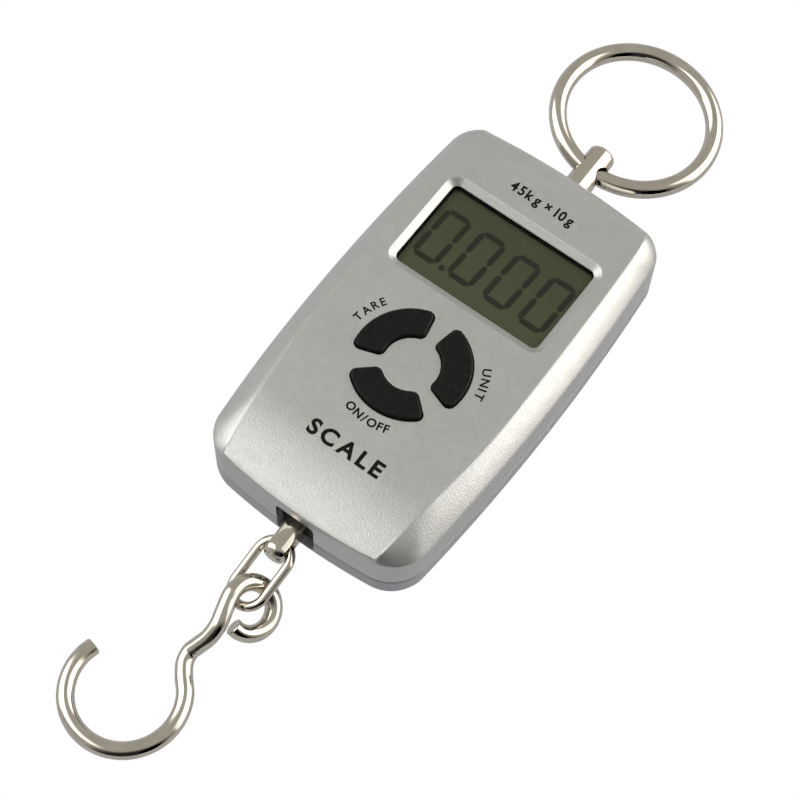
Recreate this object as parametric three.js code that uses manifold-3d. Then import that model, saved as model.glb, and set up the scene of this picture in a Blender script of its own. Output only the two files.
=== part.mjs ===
// Digital luggage scale: a flat plastic case with a display and three keys, a round ring to hold it by,
// and a wire hook that hangs from a chain link. Millimetres, +Z up.
// The origin is on the back face under the middle of the case; +Y points to the ring, -Y to the hook.
import * as THREE from 'three';
import Module from 'manifold-3d';
import { mergeVertices } from 'three/addons/utils/BufferGeometryUtils.js';

const wasm = await Module();
wasm.setup();

// ---- Case ----
const CASE_HALF_WIDTH = 30.9;
const CASE_WIDEST_Y = 2.5;
const SIDE_RADIUS = 520;
const END_Y = 53.8;
const END_RADIUS = 180;
const TOP_CORNER_RADIUS = 7;
const BOTTOM_CORNER_RADIUS = 10;
const FACE_Z = 23.5;
const SIDE_RIM_Z = 18.8;
const CORNER_RIM_Z = 18.0;
const BOTTOM_RIM_Z = 19.1;
const BOTTOM_EDGE_ROUNDING = 0.7;
const PANEL_DROP_START_Y = -33;
const PANEL_DROP = 3.7;
const PARTING_Z = 9.3;
const GAP = 0.3;
const BACK_ROUNDING = 5;
const WALL = 2.2;
const FLOOR_Z = 3;
const CREASE = [[21.3, -51.85], [23.35, -36], [25.4, -16], [25.6, 0], [25.4, 17], [25, 34], [24.3, 48.5]];
const CREASE_TOP_Y = 48.5;

// ---- Display ----
const WINDOW_HALF_WIDTH = 20.14;
const WINDOW_LOW_Y = 10.16;
const WINDOW_HIGH_Y = 35;
const WINDOW_CHAMFER = 1.8;
const WINDOW_EDGE_Z = 22.3;
const LENS_Z = [20.9, 21.7];
const GLASS_Z = [18.2, 20.6];

// ---- Keys ----
const KEY_CENTRE_Y = -10.2;
const KEY_INNER_RADIUS = 7.03;
const KEY_OUTER_RADIUS = 14;
const KEY_HALF_ANGLE = 47.3;
const KEY_CORNER_RADIUS = 1.4;
const KEY_TOP_Z = 24.3;
const KEYS = [['unit_key', 30], ['tare_key', 150], ['power_key', 270]];

// ---- Board, load cell and battery wells ----
const BOARD_Z = [15.6, 16.8];
const BOARD_POSTS = [[18.3, 5.7], [-18.3, 5.7], [17, -31], [-17, -31]];
const CELL_HALF_WIDTH = 6;
const CELL_HALF_LENGTH = 40;
const CELL_Z = [6.7, 13.9];
const CELL_SCREW_Y = [-33.5, -38];
const BATTERY_X = 13.2;
const BATTERY_Z = 7;
const BATTERY_RADIUS = 5.25;
const BATTERY_LENGTH = 44.5;
const WELL_HALF_LENGTH = 27;
const WELL_HALF_WIDTH = 5.95;
const WELL_CEILING_Z = 12.6;
const DOOR_HALF_WIDTH = 19.5;
const DOOR_START_Y = -29.5;
const DOOR_THICKNESS = 1.4;
const CASE_SCREWS = [[24.2, 41], [-24.2, 41], [24.2, -41], [-24.2, -41]];

// ---- Ring, studs, link and hook ----
const STUD_Z = 10.3;
const TOP_STUD_RADIUS = 3.5;
const TOP_STUD_TIP_Y = 69.8;
const RING_HINGE_Y = 63.57;
const RING_RADIUS = 19.64;
const RING_WIRE = 2.2;
const RING_HOLE = 2.85;
const BOTTOM_STUD_RADIUS = 3.3;
const BOTTOM_STUD_HALF_WIDTH = 2.3;
const BOTTOM_STUD_TIP_Y = -62.4;
const LINK_HINGE_Y = -58.2;
const LINK_HOLE = 1.9;
const LINK_WIRE = 1.15;
const LINK_HALF_WIDTH = 4.4;
const LINK_LENGTH = 17;
const LINK_TOP_Y = -57.8;
const HOOK_WIRE = 2.05;
const EYE_CENTRE = new THREE.Vector3(2.51, -73.3, 5.75);
const EYE_RADIUS = 5.8;
const EYE_TILT = 38;
const HOOK_CENTRE = new THREE.Vector3(-8.25, -104.5, 2.15);
const HOOK_RADIUS = 13.2;
const SLOT_HALF_WIDTH = 5.25;
const SLOT_Z = [4.5, 17];

// ---- Materials: colour, roughness, metalness ----
const LOOKS = {
  silver: [0x9d9d98, 0.45, 0.1],
  grey: [0x8f9093, 0.5, 0.1],
  black_rubber: [0x1c1c1a, 0.8, 0],
  clear: [0xd8dcd4, 0.05, 0],
  display: [0x565a42, 0.3, 0],
  white_plastic: [0xe4e4de, 0.5, 0],
  nickel: [0x9a9482, 0.2, 1],
  aluminium: [0xb5b8ba, 0.4, 1],
  steel: [0xa8a8a4, 0.35, 1],
  board: [0x1f5b33, 0.5, 0],
  resin: [0x101010, 0.4, 0],
  foil: [0xb8863b, 0.5, 0.4],
  battery: [0x2f5a8c, 0.35, 0.2],
  red_wire: [0xb02318, 0.6, 0],
  black_wire: [0x18181a, 0.6, 0],
};

const part = new THREE.Group();
const radians = THREE.MathUtils.degToRad;

function solid(geometry) {
  const bare = geometry.index ? geometry.toNonIndexed() : geometry.clone();
  bare.deleteAttribute('normal');
  bare.deleteAttribute('uv');
  const merged = mergeVertices(bare, 1e-4);
  const corners = [];
  for (let i = 0; i < merged.index.count; i += 3) {
    const [a, b, c] = [0, 1, 2].map((k) => merged.index.getX(i + k));
    if (a !== b && b !== c && c !== a) corners.push(a, b, c);
  }
  return new wasm.Manifold(new wasm.Mesh({
    numProp: 3,
    vertProperties: new Float32Array(merged.attributes.position.array),
    triVerts: new Uint32Array(corners),
  }));
}

function geometryOf(body) {
  const mesh = body.getMesh();
  const geometry = new THREE.BufferGeometry();
  geometry.setAttribute('position', new THREE.BufferAttribute(mesh.vertProperties, 3));
  geometry.setIndex(new THREE.BufferAttribute(mesh.triVerts, 1));
  geometry.computeVertexNormals();
  return geometry;
}

function cut(body, ...tools) {
  return tools.flat().reduce((result, tool) => result.subtract(tool), body);
}

function join(body, ...others) {
  return others.flat().reduce((result, other) => result.add(other), body);
}

function add(name, look, body, place) {
  const [color, roughness, metalness] = LOOKS[look];
  const material = new THREE.MeshStandardMaterial({ color, roughness, metalness });
  const mesh = new THREE.Mesh(geometryOf(body), material);
  mesh.name = name;
  if (place) place(mesh);
  part.add(mesh);
  return mesh;
}

function box(x, y, z) {
  const geometry = new THREE.BoxGeometry(x[1] - x[0], y[1] - y[0], z[1] - z[0]);
  geometry.translate((x[0] + x[1]) / 2, (y[0] + y[1]) / 2, (z[0] + z[1]) / 2);
  return solid(geometry);
}

function rodX(radius, x, y, z, sides = 24) {
  const geometry = new THREE.CylinderGeometry(radius, radius, x[1] - x[0], sides);
  geometry.rotateZ(-Math.PI / 2).translate((x[0] + x[1]) / 2, y, z);
  return solid(geometry);
}

function rodY(radius, x, y, z, sides = 24) {
  const geometry = new THREE.CylinderGeometry(radius, radius, y[1] - y[0], sides);
  geometry.translate(x, (y[0] + y[1]) / 2, z);
  return solid(geometry);
}

function rodZ(radius, x, y, z, sides = 20) {
  const geometry = new THREE.CylinderGeometry(radius, radius, z[1] - z[0], sides);
  geometry.rotateX(Math.PI / 2).translate(x, y, (z[0] + z[1]) / 2);
  return solid(geometry);
}

// A profile of [radius, height] points turned about Z.
function turned(profile, sides = 24) {
  const points = profile.map(([r, h]) => new THREE.Vector2(r, h));
  const geometry = new THREE.LatheGeometry(points, sides);
  geometry.rotateX(Math.PI / 2);
  return geometry;
}

function prism(points, z) {
  const shape = new THREE.Shape(points.map(([x, y]) => new THREE.Vector2(x, y)));
  const geometry = new THREE.ExtrudeGeometry(shape, { depth: z[1] - z[0], bevelEnabled: false });
  geometry.translate(0, 0, z[0]);
  return solid(geometry);
}

function arc(cx, cy, radius, from, to, steps) {
  const points = [];
  for (let i = 0; i <= steps; i += 1) {
    const angle = from + ((to - from) * i) / steps;
    points.push([cx + radius * Math.cos(angle), cy + radius * Math.sin(angle)]);
  }
  return points;
}

// Counterclockwise from the lower right corner.
function roundedRectangle(x, y, radius, steps = 4) {
  const q = Math.PI / 2;
  return [
    ...arc(x[1] - radius, y[0] + radius, radius, -q, 0, steps),
    ...arc(x[1] - radius, y[1] - radius, radius, 0, q, steps),
    ...arc(x[0] + radius, y[1] - radius, radius, q, 2 * q, steps),
    ...arc(x[0] + radius, y[0] + radius, radius, 2 * q, 3 * q, steps),
  ];
}

// A closed body through rings of equal point counts, with a flat fan over the first and the last ring.
function loft(rings) {
  const count = rings[0].length;
  const middle = (ring) => ring.reduce((sum, p) => sum.map((v, k) => v + p[k] / count), [0, 0, 0]);
  const vertices = [...rings.flat(), middle(rings[0]), middle(rings.at(-1))];
  const low = rings.length * count;
  const index = [];
  for (let i = 0; i < count; i += 1) {
    const j = (i + 1) % count;
    index.push(low, j, i);
    for (let r = 0; r + 1 < rings.length; r += 1) {
      const a = r * count;
      const b = a + count;
      index.push(a + i, a + j, b + i, a + j, b + j, b + i);
    }
    const last = (rings.length - 1) * count;
    index.push(low + 1, last + i, last + j);
  }
  const geometry = new THREE.BufferGeometry();
  geometry.setAttribute('position', new THREE.Float32BufferAttribute(vertices.flat(), 3));
  geometry.setIndex(index);
  return solid(geometry);
}

// ---- Outline of the case ----

// Where a corner arc meets the side arc and the end arc: its centre and the two directions.
function corner(endCentreY, radius) {
  const side = [CASE_HALF_WIDTH - SIDE_RADIUS, CASE_WIDEST_Y];
  const end = [0, endCentreY];
  const r1 = SIDE_RADIUS - radius;
  const r2 = END_RADIUS - radius;
  const dx = end[0] - side[0];
  const dy = end[1] - side[1];
  const d = Math.hypot(dx, dy);
  const along = (r1 * r1 - r2 * r2 + d * d) / (2 * d);
  const across = Math.sqrt(r1 * r1 - along * along) * (endCentreY < 0 ? 1 : -1);
  const x = side[0] + (along * dx - across * dy) / d;
  const y = side[1] + (along * dy + across * dx) / d;
  const fromSide = Math.atan2(y - side[1], x - side[0]);
  const fromEnd = Math.atan2(y - end[1], x - end[0]);
  return { x, y, fromSide, fromEnd };
}

const END_STEPS = 5;
const TOP_END_CENTRE = END_Y - END_RADIUS;
const BOTTOM_END_CENTRE = END_RADIUS - END_Y;
const topCorner = corner(TOP_END_CENTRE, TOP_CORNER_RADIUS);
const bottomCorner = corner(BOTTOM_END_CENTRE, BOTTOM_CORNER_RADIUS);

// The right half of the outline from the bottom middle to the top middle.
function rightHalf(inset) {
  const q = Math.PI / 2;
  const low = bottomCorner;
  const high = topCorner;
  const sideX = CASE_HALF_WIDTH - SIDE_RADIUS;
  const arcs = [
    arc(0, BOTTOM_END_CENTRE, END_RADIUS - inset, -q, low.fromEnd, END_STEPS),
    arc(low.x, low.y, BOTTOM_CORNER_RADIUS - inset, low.fromEnd, low.fromSide, 7),
    arc(sideX, CASE_WIDEST_Y, SIDE_RADIUS - inset, low.fromSide, high.fromSide, 12),
    arc(high.x, high.y, TOP_CORNER_RADIUS - inset, high.fromSide, high.fromEnd, 7),
    arc(0, TOP_END_CENTRE, END_RADIUS - inset, high.fromEnd, q, END_STEPS),
  ];
  return arcs.flatMap((points, i) => (i ? points.slice(1) : points));
}

// A closed outline from its right half.
function mirrored(half) {
  const left = half.slice(1, -1).reverse().map(([x, ...rest]) => [-x, ...rest]);
  return [...half, ...left];
}

function outline(inset) {
  return mirrored(rightHalf(inset));
}

function outlineAt(inset, z) {
  return outline(inset).map(([x, y]) => [x, y, z]);
}

// ---- Top surface of the front shell ----

function panelZ(y) {
  const past = Math.max(0, PANEL_DROP_START_Y - y) / (PANEL_DROP_START_Y + END_Y);
  return FACE_Z - PANEL_DROP * past * past;
}

function mix(a, b, t) {
  return a + (b - a) * t;
}

const creaseCurve = new THREE.CatmullRomCurve3(CREASE.map(([x, y]) => new THREE.Vector3(x, y, 0)));

// For each point of the right half outline: the rim point above it, the matching point on the panel's edge
// and how round the slope between them is (0 for the flat-sided bevel, 1 for a full quarter round).
function topSurfaceStations() {
  const rim = rightHalf(0);
  const first = END_STEPS;
  const last = rim.length - 1 - END_STEPS;
  const along = rim.slice(first, last + 1);
  return rim.map(([x, y], i) => {
    if (i < first) {
      return { rim: [x, y, BOTTOM_RIM_Z], panel: [x, y + BOTTOM_EDGE_ROUNDING], round: 1 };
    }
    if (i > last) {
      return { rim: [x, y, SIDE_RIM_Z], panel: [x, CREASE_TOP_Y], round: 1 };
    }
    const t = (i - first) / (last - first);
    const p = creaseCurve.getPointAt(pathFraction(along, i - first));
    const low = THREE.MathUtils.smoothstep(t, 0, 0.22);
    const high = THREE.MathUtils.smoothstep(t, 0.22, 0.45);
    const z = mix(mix(BOTTOM_RIM_Z, CORNER_RIM_Z, low), SIDE_RIM_Z, high);
    const round = THREE.MathUtils.smoothstep(t, 0.78, 1);
    return { rim: [x, y, z], panel: [p.x, p.y], round };
  });
}

function pathFraction(points, index) {
  const lengths = points.slice(1).map((p, i) => Math.hypot(p[0] - points[i][0], p[1] - points[i][1]));
  const total = lengths.reduce((a, b) => a + b, 0);
  return lengths.slice(0, index).reduce((a, b) => a + b, 0) / total;
}

// The share of the drop from panel edge (0) to rim (1).
function slope(u, round) {
  return mix(0.6 * u + 0.4 * u * u, 1 - Math.sqrt(1 - u * u), round);
}

// The front half of the case as a solid block.
function frontBlock() {
  const stations = topSurfaceStations();
  const ring = (place) => mirrored(stations.map(place));
  const rings = [outlineAt(0, PARTING_Z + GAP / 2), ring((s) => s.rim)];
  for (const u of [0.8, 0.55, 0.25, 0]) {
    rings.push(ring((s) => {
      const edgeZ = panelZ(s.panel[1]);
      const x = mix(s.panel[0], s.rim[0], u);
      const y = mix(s.panel[1], s.rim[1], u);
      return [x, y, edgeZ - (edgeZ - s.rim[2]) * slope(u, s.round)];
    }));
  }
  for (const k of [0.9, 0.8, 0.7, 0.62]) {
    rings.push(ring((s) => [s.panel[0] * k, s.panel[1] * k, panelZ(s.panel[1] * k)]));
  }
  return loft(rings);
}

// A piece of a ring about the key circle's centre, with radial ends and four rounded corners.
function sector(inner, outer, middle, halfAngle, round) {
  const a = radians(middle - halfAngle);
  const b = radians(middle + halfAngle);
  const outerTurn = round / (outer - round);
  const innerTurn = round / (inner + round);
  const corners = [
    [outer - round, a + outerTurn, a - Math.PI / 2],
    [outer - round, b - outerTurn, b],
    [inner + round, b - innerTurn, b + Math.PI / 2],
    [inner + round, a + innerTurn, a + Math.PI],
  ];
  const rounded = corners.map(([r, angle, from]) => arc(
    r * Math.cos(angle), KEY_CENTRE_Y + r * Math.sin(angle), round, from, from + Math.PI / 2, 3,
  ));
  const q = [outerTurn, innerTurn];
  return [
    ...rounded[0],
    ...arc(0, KEY_CENTRE_Y, outer, a + q[0], b - q[0], 12).slice(1, -1),
    ...rounded[1],
    ...rounded[2],
    ...arc(0, KEY_CENTRE_Y, inner, b - q[1], a + q[1], 8).slice(1, -1),
    ...rounded[3],
  ];
}

// The slot through both end walls that the studs stand in.
function slotTool() {
  const slot = prism(roundedRectangle([-SLOT_HALF_WIDTH, SLOT_HALF_WIDTH], SLOT_Z, 1.5), [-60, 60]);
  return slot.rotate([90, 0, 0]);
}

function windowTool() {
  const opening = (grow) => {
    const x = WINDOW_HALF_WIDTH + grow;
    return roundedRectangle([-x, x], [WINDOW_LOW_Y - grow, WINDOW_HIGH_Y + grow], 1.7 + grow);
  };
  const over = 0.5;
  const slopeOut = WINDOW_CHAMFER / (FACE_Z - WINDOW_EDGE_Z);
  const ringAt = (grow, z) => opening(grow).map(([x, y]) => [x, y, z]);
  return loft([
    ringAt(0, 20),
    ringAt(0, WINDOW_EDGE_Z),
    ringAt(WINDOW_CHAMFER + over * slopeOut, FACE_Z + over),
  ]);
}

function keyOpening(middle) {
  const inner = KEY_INNER_RADIUS - GAP;
  const outer = KEY_OUTER_RADIUS + GAP;
  return prism(sector(inner, outer, middle, KEY_HALF_ANGLE + 1.6, KEY_CORNER_RADIUS + GAP), [20, 26]);
}

// A shell hollowed in steps that follow the sloping edge of the face.
function makeFrontShell() {
  let shell = cut(
    frontBlock(),
    prism(outline(0.9), [PARTING_Z - 1, 11.3]),
    prism(outline(WALL), [PARTING_Z - 1, 17.2]),
    prism(outline(5), [PARTING_Z - 1, 19.4]),
    prism(outline(6.5).map(([x, y]) => [x, Math.max(y, -37)]), [PARTING_Z - 1, 21.5]),
  );
  const bosses = CASE_SCREWS.map(([x, y]) => rodZ(2.7, x, y, [11.3, 18]));
  const posts = BOARD_POSTS.map(([x, y]) => rodZ(2.2, x, y, [BOARD_Z[1] + GAP, 22], 16));
  shell = join(shell, bosses, posts);
  const lensPocket = box([-21.9, 21.9], [8.5, 36.7], [20, 22]);
  return cut(
    shell,
    CASE_SCREWS.map(([x, y]) => rodZ(1.4, x, y, [11, 16.6], 12)),
    BOARD_POSTS.map(([x, y]) => rodZ(1.1, x, y, [BOARD_Z[1], 21], 12)),
    KEYS.map(([, middle]) => keyOpening(middle)),
    slotTool(),
    lensPocket,
    windowTool(),
  );
}

// The rear half of the case as a solid block with rounded lower edges.
function backBlock() {
  const rings = [];
  for (const degrees of [0, 25, 50, 70, 90]) {
    const angle = radians(degrees);
    rings.push(outlineAt(BACK_ROUNDING * (1 - Math.sin(angle)), BACK_ROUNDING * (1 - Math.cos(angle))));
  }
  rings.push(outlineAt(0, PARTING_Z - GAP / 2));
  return loft(rings);
}

// The door's plate with a tongue along each side, and open past the ring end of the case.
function doorRecess(grow) {
  const wide = DOOR_HALF_WIDTH + grow;
  const y = [DOOR_START_Y - grow, 70];
  const plate = box([-wide, wide], y, [-1, DOOR_THICKNESS + grow]);
  return join(plate, box([-wide - 1, wide + 1], y, [0.8 - grow, DOOR_THICKNESS + grow]));
}

function makeRearShell() {
  const half = [-WELL_HALF_LENGTH, WELL_HALF_LENGTH];
  const wellX = (side, grow) => {
    const wide = WELL_HALF_WIDTH + grow;
    return [side * BATTERY_X - wide, side * BATTERY_X + wide];
  };
  let shell = cut(backBlock(), prism(outline(WALL), [FLOOR_Z, PARTING_Z + 5]));
  const band = prism(outline(1.2), [PARTING_Z - 1, 11]);
  const tongue = cut(band, prism(outline(WALL), [PARTING_Z - 2, 12]));
  const grownHalf = [half[0] - 0.9, half[1] + 0.9];
  const wells = [-1, 1].map((s) => box(wellX(s, 0.9), grownHalf, [1, WELL_CEILING_Z + 0.9]));
  const posts = CASE_SCREWS.map(([x, y]) => rodZ(3.5, x, y, [1, 10.9]));
  const cellPosts = CELL_SCREW_Y.map((y) => rodZ(2.1, 0, y, [1, CELL_Z[0] - GAP], 16));
  shell = join(shell, tongue, wells, posts, cellPosts);
  return cut(
    shell,
    [-1, 1].map((s) => box(wellX(s, 0), half, [-1, WELL_CEILING_Z])),
    doorRecess(GAP),
    CASE_SCREWS.map(([x, y]) => rodZ(2.6, x, y, [-1, 4.1])),
    CASE_SCREWS.map(([x, y]) => rodZ(1.4, x, y, [3, 12], 12)),
    CELL_SCREW_Y.map((y) => rodZ(1.85, 0, y, [-1, 2.4], 14)),
    CELL_SCREW_Y.map((y) => rodZ(1.15, 0, y, [2, 8], 12)),
    slotTool(),
    plateSlots(),
  );
}

// The contact plates' tabs leave the wells through the ceiling at both ends.
function plateSlots() {
  const slots = [];
  for (const x of [-BATTERY_X, BATTERY_X]) {
    for (const end of [-1, 1]) {
      const y = end * (WELL_HALF_LENGTH - 0.6);
      slots.push(box([x - 1.8, x + 1.8], [y - 0.6, y + 0.6], [11, 15]));
    }
  }
  return slots;
}

function makeDoor() {
  return backBlock().intersect(doorRecess(0));
}

// ---- Display, keys and board ----

function addDisplay() {
  add('display_window', 'clear', prism(roundedRectangle([-21.6, 21.6], [8.8, 36.4], 1.5, 3), LENS_Z));
  add('display_glass', 'display', box([-21, 21], [9.2, 36], GLASS_Z));
  add('display_backing', 'white_plastic', box([-21, 21], [12.6, 36], [BOARD_Z[1] + GAP, GLASS_Z[0] - GAP]));
  add('zebra_connector', 'black_rubber', box([-19, 19], [9.6, 12], [BOARD_Z[1] + GAP, GLASS_Z[0] - GAP]));
}

function makeKey(middle) {
  const inset = 0.35;
  const [inner, outer, round] = [KEY_INNER_RADIUS, KEY_OUTER_RADIUS, KEY_CORNER_RADIUS];
  const top = sector(inner, outer, middle, KEY_HALF_ANGLE, round);
  const crown = sector(inner + inset, outer - inset, middle, KEY_HALF_ANGLE - 2, round - inset);
  const ringAt = (points, z) => points.map(([x, y]) => [x, y, z]);
  const cap = loft([ringAt(top, 19.4), ringAt(top, KEY_TOP_Z - inset), ringAt(crown, KEY_TOP_Z)]);
  const flange = sector(inner - 0.8, outer + 0.8, middle, KEY_HALF_ANGLE + 4, round);
  return join(cap, prism(flange, [19, 20.2]));
}

function addKeys() {
  for (const [name, middle] of KEYS) add(name, 'black_rubber', makeKey(middle));
  const mat = rodZ(16.5, 0, KEY_CENTRE_Y, [BOARD_Z[1] + GAP, 17.7], 40);
  const domes = KEYS.map(([, middle]) => {
    const a = radians(middle);
    const r = (KEY_INNER_RADIUS + KEY_OUTER_RADIUS) / 2;
    return rodZ(2.5, r * Math.cos(a), KEY_CENTRE_Y + r * Math.sin(a), [17.4, 18], 16);
  });
  add('contact_mat', 'black_rubber', join(mat, domes));
}

// A screw driven upwards, with a cross recess in the underside of its head.
function screw(x, y, headRadius, headZ, shankRadius, tipZ) {
  const head = rodZ(headRadius, x, y, headZ, 18);
  const shank = rodZ(shankRadius, x, y, [headZ[1] - 0.1, tipZ], 12);
  const reach = headRadius * 0.6;
  const recess = [headZ[0] - 1, headZ[0] + 0.6];
  return cut(
    join(head, shank),
    box([x - reach, x + reach], [y - 0.25, y + 0.25], recess),
    box([x - 0.25, x + 0.25], [y - reach, y + reach], recess),
  );
}

function addBoard() {
  const outlinePoints = roundedRectangle([-21, 21], [-35, 38], 1.5, 2);
  const holes = BOARD_POSTS.map(([x, y]) => rodZ(1.2, x, y, [14, 18], 12));
  add('circuit_board', 'board', cut(prism(outlinePoints, BOARD_Z), holes));
  const z = BOARD_Z[1] + GAP;
  const blob = turned([[0, z], [3.6, z], [3.1, z + 0.7], [2, z + 1.2], [0, z + 1.4]], 18);
  add('chip_blob', 'resin', solid(blob.translate(0, -30.9, 0)));
  BOARD_POSTS.forEach(([x, y], i) => {
    add(`board_screw_${i + 1}`, 'steel', screw(x, y, 1.7, [14.1, 15.3], 0.8, 20.2));
  });
}

// ---- Load cell, studs and wiring ----

// A bar with a slit from each side and two round holes, so that it bends when it is pulled.
function makeLoadCell() {
  const x = [-CELL_HALF_WIDTH, CELL_HALF_WIDTH];
  const block = box(x, [-CELL_HALF_LENGTH, CELL_HALF_LENGTH], CELL_Z);
  const past = [CELL_Z[0] - 1, CELL_Z[1] + 1];
  const screwHole = (y) => rodZ(1.15, 0, y, [CELL_Z[0] - 1, CELL_Z[0] + 0.8], 12);
  return cut(
    block,
    box([-3, x[1] + 1], [10, 12], past),
    box([x[0] - 1, 3], [-12, -10], past),
    rodZ(3.2, 0, 4, past, 20),
    rodZ(3.2, 0, -4, past, 20),
    rodY(3, 0, [31.6, 41], STUD_Z, 20),
    rodY(2.6, 0, [-41, -31.6], STUD_Z, 20),
    CELL_SCREW_Y.map(screwHole),
  );
}

function makeTopStud() {
  const tip = TOP_STUD_TIP_Y;
  const r = TOP_STUD_RADIUS;
  const shank = [[0, 32.4], [2.6, 32.4], [2.6, 47.5], [r, 47.5]];
  const nose = [[r, tip - 1.4], [r - 0.4, tip - 0.45], [r - 1.3, tip], [0, tip]];
  const profile = [...shank, ...nose];
  const points = profile.map(([radius, y]) => new THREE.Vector2(radius, y));
  const body = solid(new THREE.LatheGeometry(points, 28).translate(0, 0, STUD_Z));
  return cut(body, rodX(RING_HOLE, [-6, 6], RING_HINGE_Y, STUD_Z, 32));
}

function makeBottomStud() {
  const tip = -BOTTOM_STUD_TIP_Y;
  const r = BOTTOM_STUD_RADIUS;
  const shank = [[0, 32.4], [2.3, 32.4], [2.3, 47.5], [r, 47.5]];
  const nose = [[r, tip - 2.6], [r - 0.5, tip - 1.2], [r - 1.4, tip - 0.3], [0, tip]];
  const profile = [...shank, ...nose];
  const points = profile.map(([radius, y]) => new THREE.Vector2(radius, y));
  const geometry = new THREE.LatheGeometry(points, 28).rotateX(Math.PI).translate(0, 0, STUD_Z);
  const w = BOTTOM_STUD_HALF_WIDTH;
  const z = [STUD_Z - 5, STUD_Z + 5];
  return cut(
    solid(geometry),
    box([w, w + 3], [-64, -47], z),
    box([-w - 3, -w], [-64, -47], z),
    hourglassHole(),
  );
}

// A hole along X with widened mouths, so that the link can lie askew in it.
function hourglassHole() {
  const w = BOTTOM_STUD_HALF_WIDTH;
  const wide = LINK_HOLE + 1;
  const low = [[0, -w - 1], [wide, -w - 1], [LINK_HOLE, -w + 1]];
  const high = [[LINK_HOLE, w - 1], [wide, w + 1], [0, w + 1]];
  const profile = [...low, ...high];
  const points = profile.map(([radius, h]) => new THREE.Vector2(radius, h));
  const geometry = new THREE.LatheGeometry(points, 24).rotateZ(-Math.PI / 2);
  return solid(geometry.translate(0, LINK_HINGE_Y, STUD_Z));
}

function makeNut(y, hole) {
  return cut(rodY(5.2, 0, y, STUD_Z, 6), rodY(hole, 0, [y[0] - 1, y[1] + 1], STUD_Z, 20));
}

function sweep(points, radius, steps, sides) {
  const curve = new THREE.CatmullRomCurve3(points, false, 'centripetal');
  const section = new THREE.Shape();
  section.absarc(0, 0, radius, 0, Math.PI * 2, false);
  const options = { steps, extrudePath: curve, curveSegments: sides / 2, bevelEnabled: false };
  return solid(new THREE.ExtrudeGeometry(section, options));
}

function route(points, radius, steps) {
  return sweep(points.map(([x, y, z]) => new THREE.Vector3(x, y, z)), radius, steps, 6);
}

function addLoadPath() {
  add('load_cell', 'aluminium', makeLoadCell());
  add('top_stud', 'nickel', makeTopStud());
  add('bottom_stud', 'nickel', makeBottomStud());
  add('top_nut', 'steel', makeNut([41, 45.5], 2.9));
  add('bottom_nut', 'steel', makeNut([-45.5, -41], 2.6));
  CELL_SCREW_Y.forEach((y, i) => {
    add(`cell_screw_${i + 1}`, 'steel', screw(0, y, 1.5, [0.9, 2.1], 0.8, CELL_Z[0] + 0.5));
  });
}

function addGauges() {
  const z = [CELL_Z[1] + GAP, CELL_Z[1] + 0.55];
  add('strain_gauge_1', 'foil', box([3.6, 5.8], [0.6, 7], z));
  add('strain_gauge_2', 'foil', box([-5.8, -3.6], [-7, -0.6], z));
  const starts = [[5.2, 0.2], [4.2, 0.2], [-4.2, -7.4], [-5.2, -7.4]];
  starts.forEach(([x, y], i) => {
    const points = [[x, y, 14.65], [x, -12, 14.65], [x, -20, 14.7], [x, -23, 15]];
    add(`gauge_wire_${i + 1}`, i % 2 ? 'black_wire' : 'red_wire', route(points, 0.3, 10));
  });
}

// ---- Batteries ----

function addBatteries() {
  [-1, 1].forEach((side, i) => {
    const x = side * BATTERY_X;
    const button = 0.9;
    const half = BATTERY_LENGTH / 2;
    const flatEnd = [[0, -half], [4.9, -half], [BATTERY_RADIUS, -half + 0.4]];
    const shoulder = [[BATTERY_RADIUS, half - 1.3], [4.9, half - button]];
    const buttonEnd = [[1.9, half - button], [1.9, half], [0, half]];
    const profile = [...flatEnd, ...shoulder, ...buttonEnd];
    const points = profile.map(([radius, y]) => new THREE.Vector2(radius, y));
    const geometry = new THREE.LatheGeometry(points, 28);
    if (side > 0) geometry.rotateX(Math.PI);
    const y = -side * (WELL_HALF_LENGTH - 1.1 - half);
    add(`battery_${i + 1}`, 'battery', solid(geometry.translate(x, y, BATTERY_Z)));
    addContacts(i + 1, x, side);
  });
}

// At the button end a bare plate, at the flat end a plate with a spring on it.
function addContacts(number, x, side) {
  const plate = (end) => {
    const y = end * (WELL_HALF_LENGTH - 0.6);
    const blade = box([x - 4.5, x + 4.5], [y - 0.2, y + 0.2], [3.2, 11.9]);
    return join(blade, box([x - 1.4, x + 1.4], [y - 0.2, y + 0.2], [11, 14.3]));
  };
  add(`button_plate_${number}`, 'steel', plate(-side));
  add(`spring_plate_${number}`, 'steel', plate(side));
  const start = WELL_HALF_LENGTH - 1.4;
  const length = 2 * WELL_HALF_LENGTH - 3.1 - BATTERY_LENGTH;
  const turns = 4;
  const points = [];
  for (let i = 0; i <= turns * 10; i += 1) {
    const t = i / (turns * 10);
    const radius = mix(3.6, 2, t);
    const angle = t * turns * Math.PI * 2;
    const y = side * (start - t * length);
    points.push([x + radius * Math.cos(angle), y, BATTERY_Z + radius * Math.sin(angle)]);
  }
  add(`battery_spring_${number}`, 'steel', route(points, 0.3, 48));
}

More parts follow.
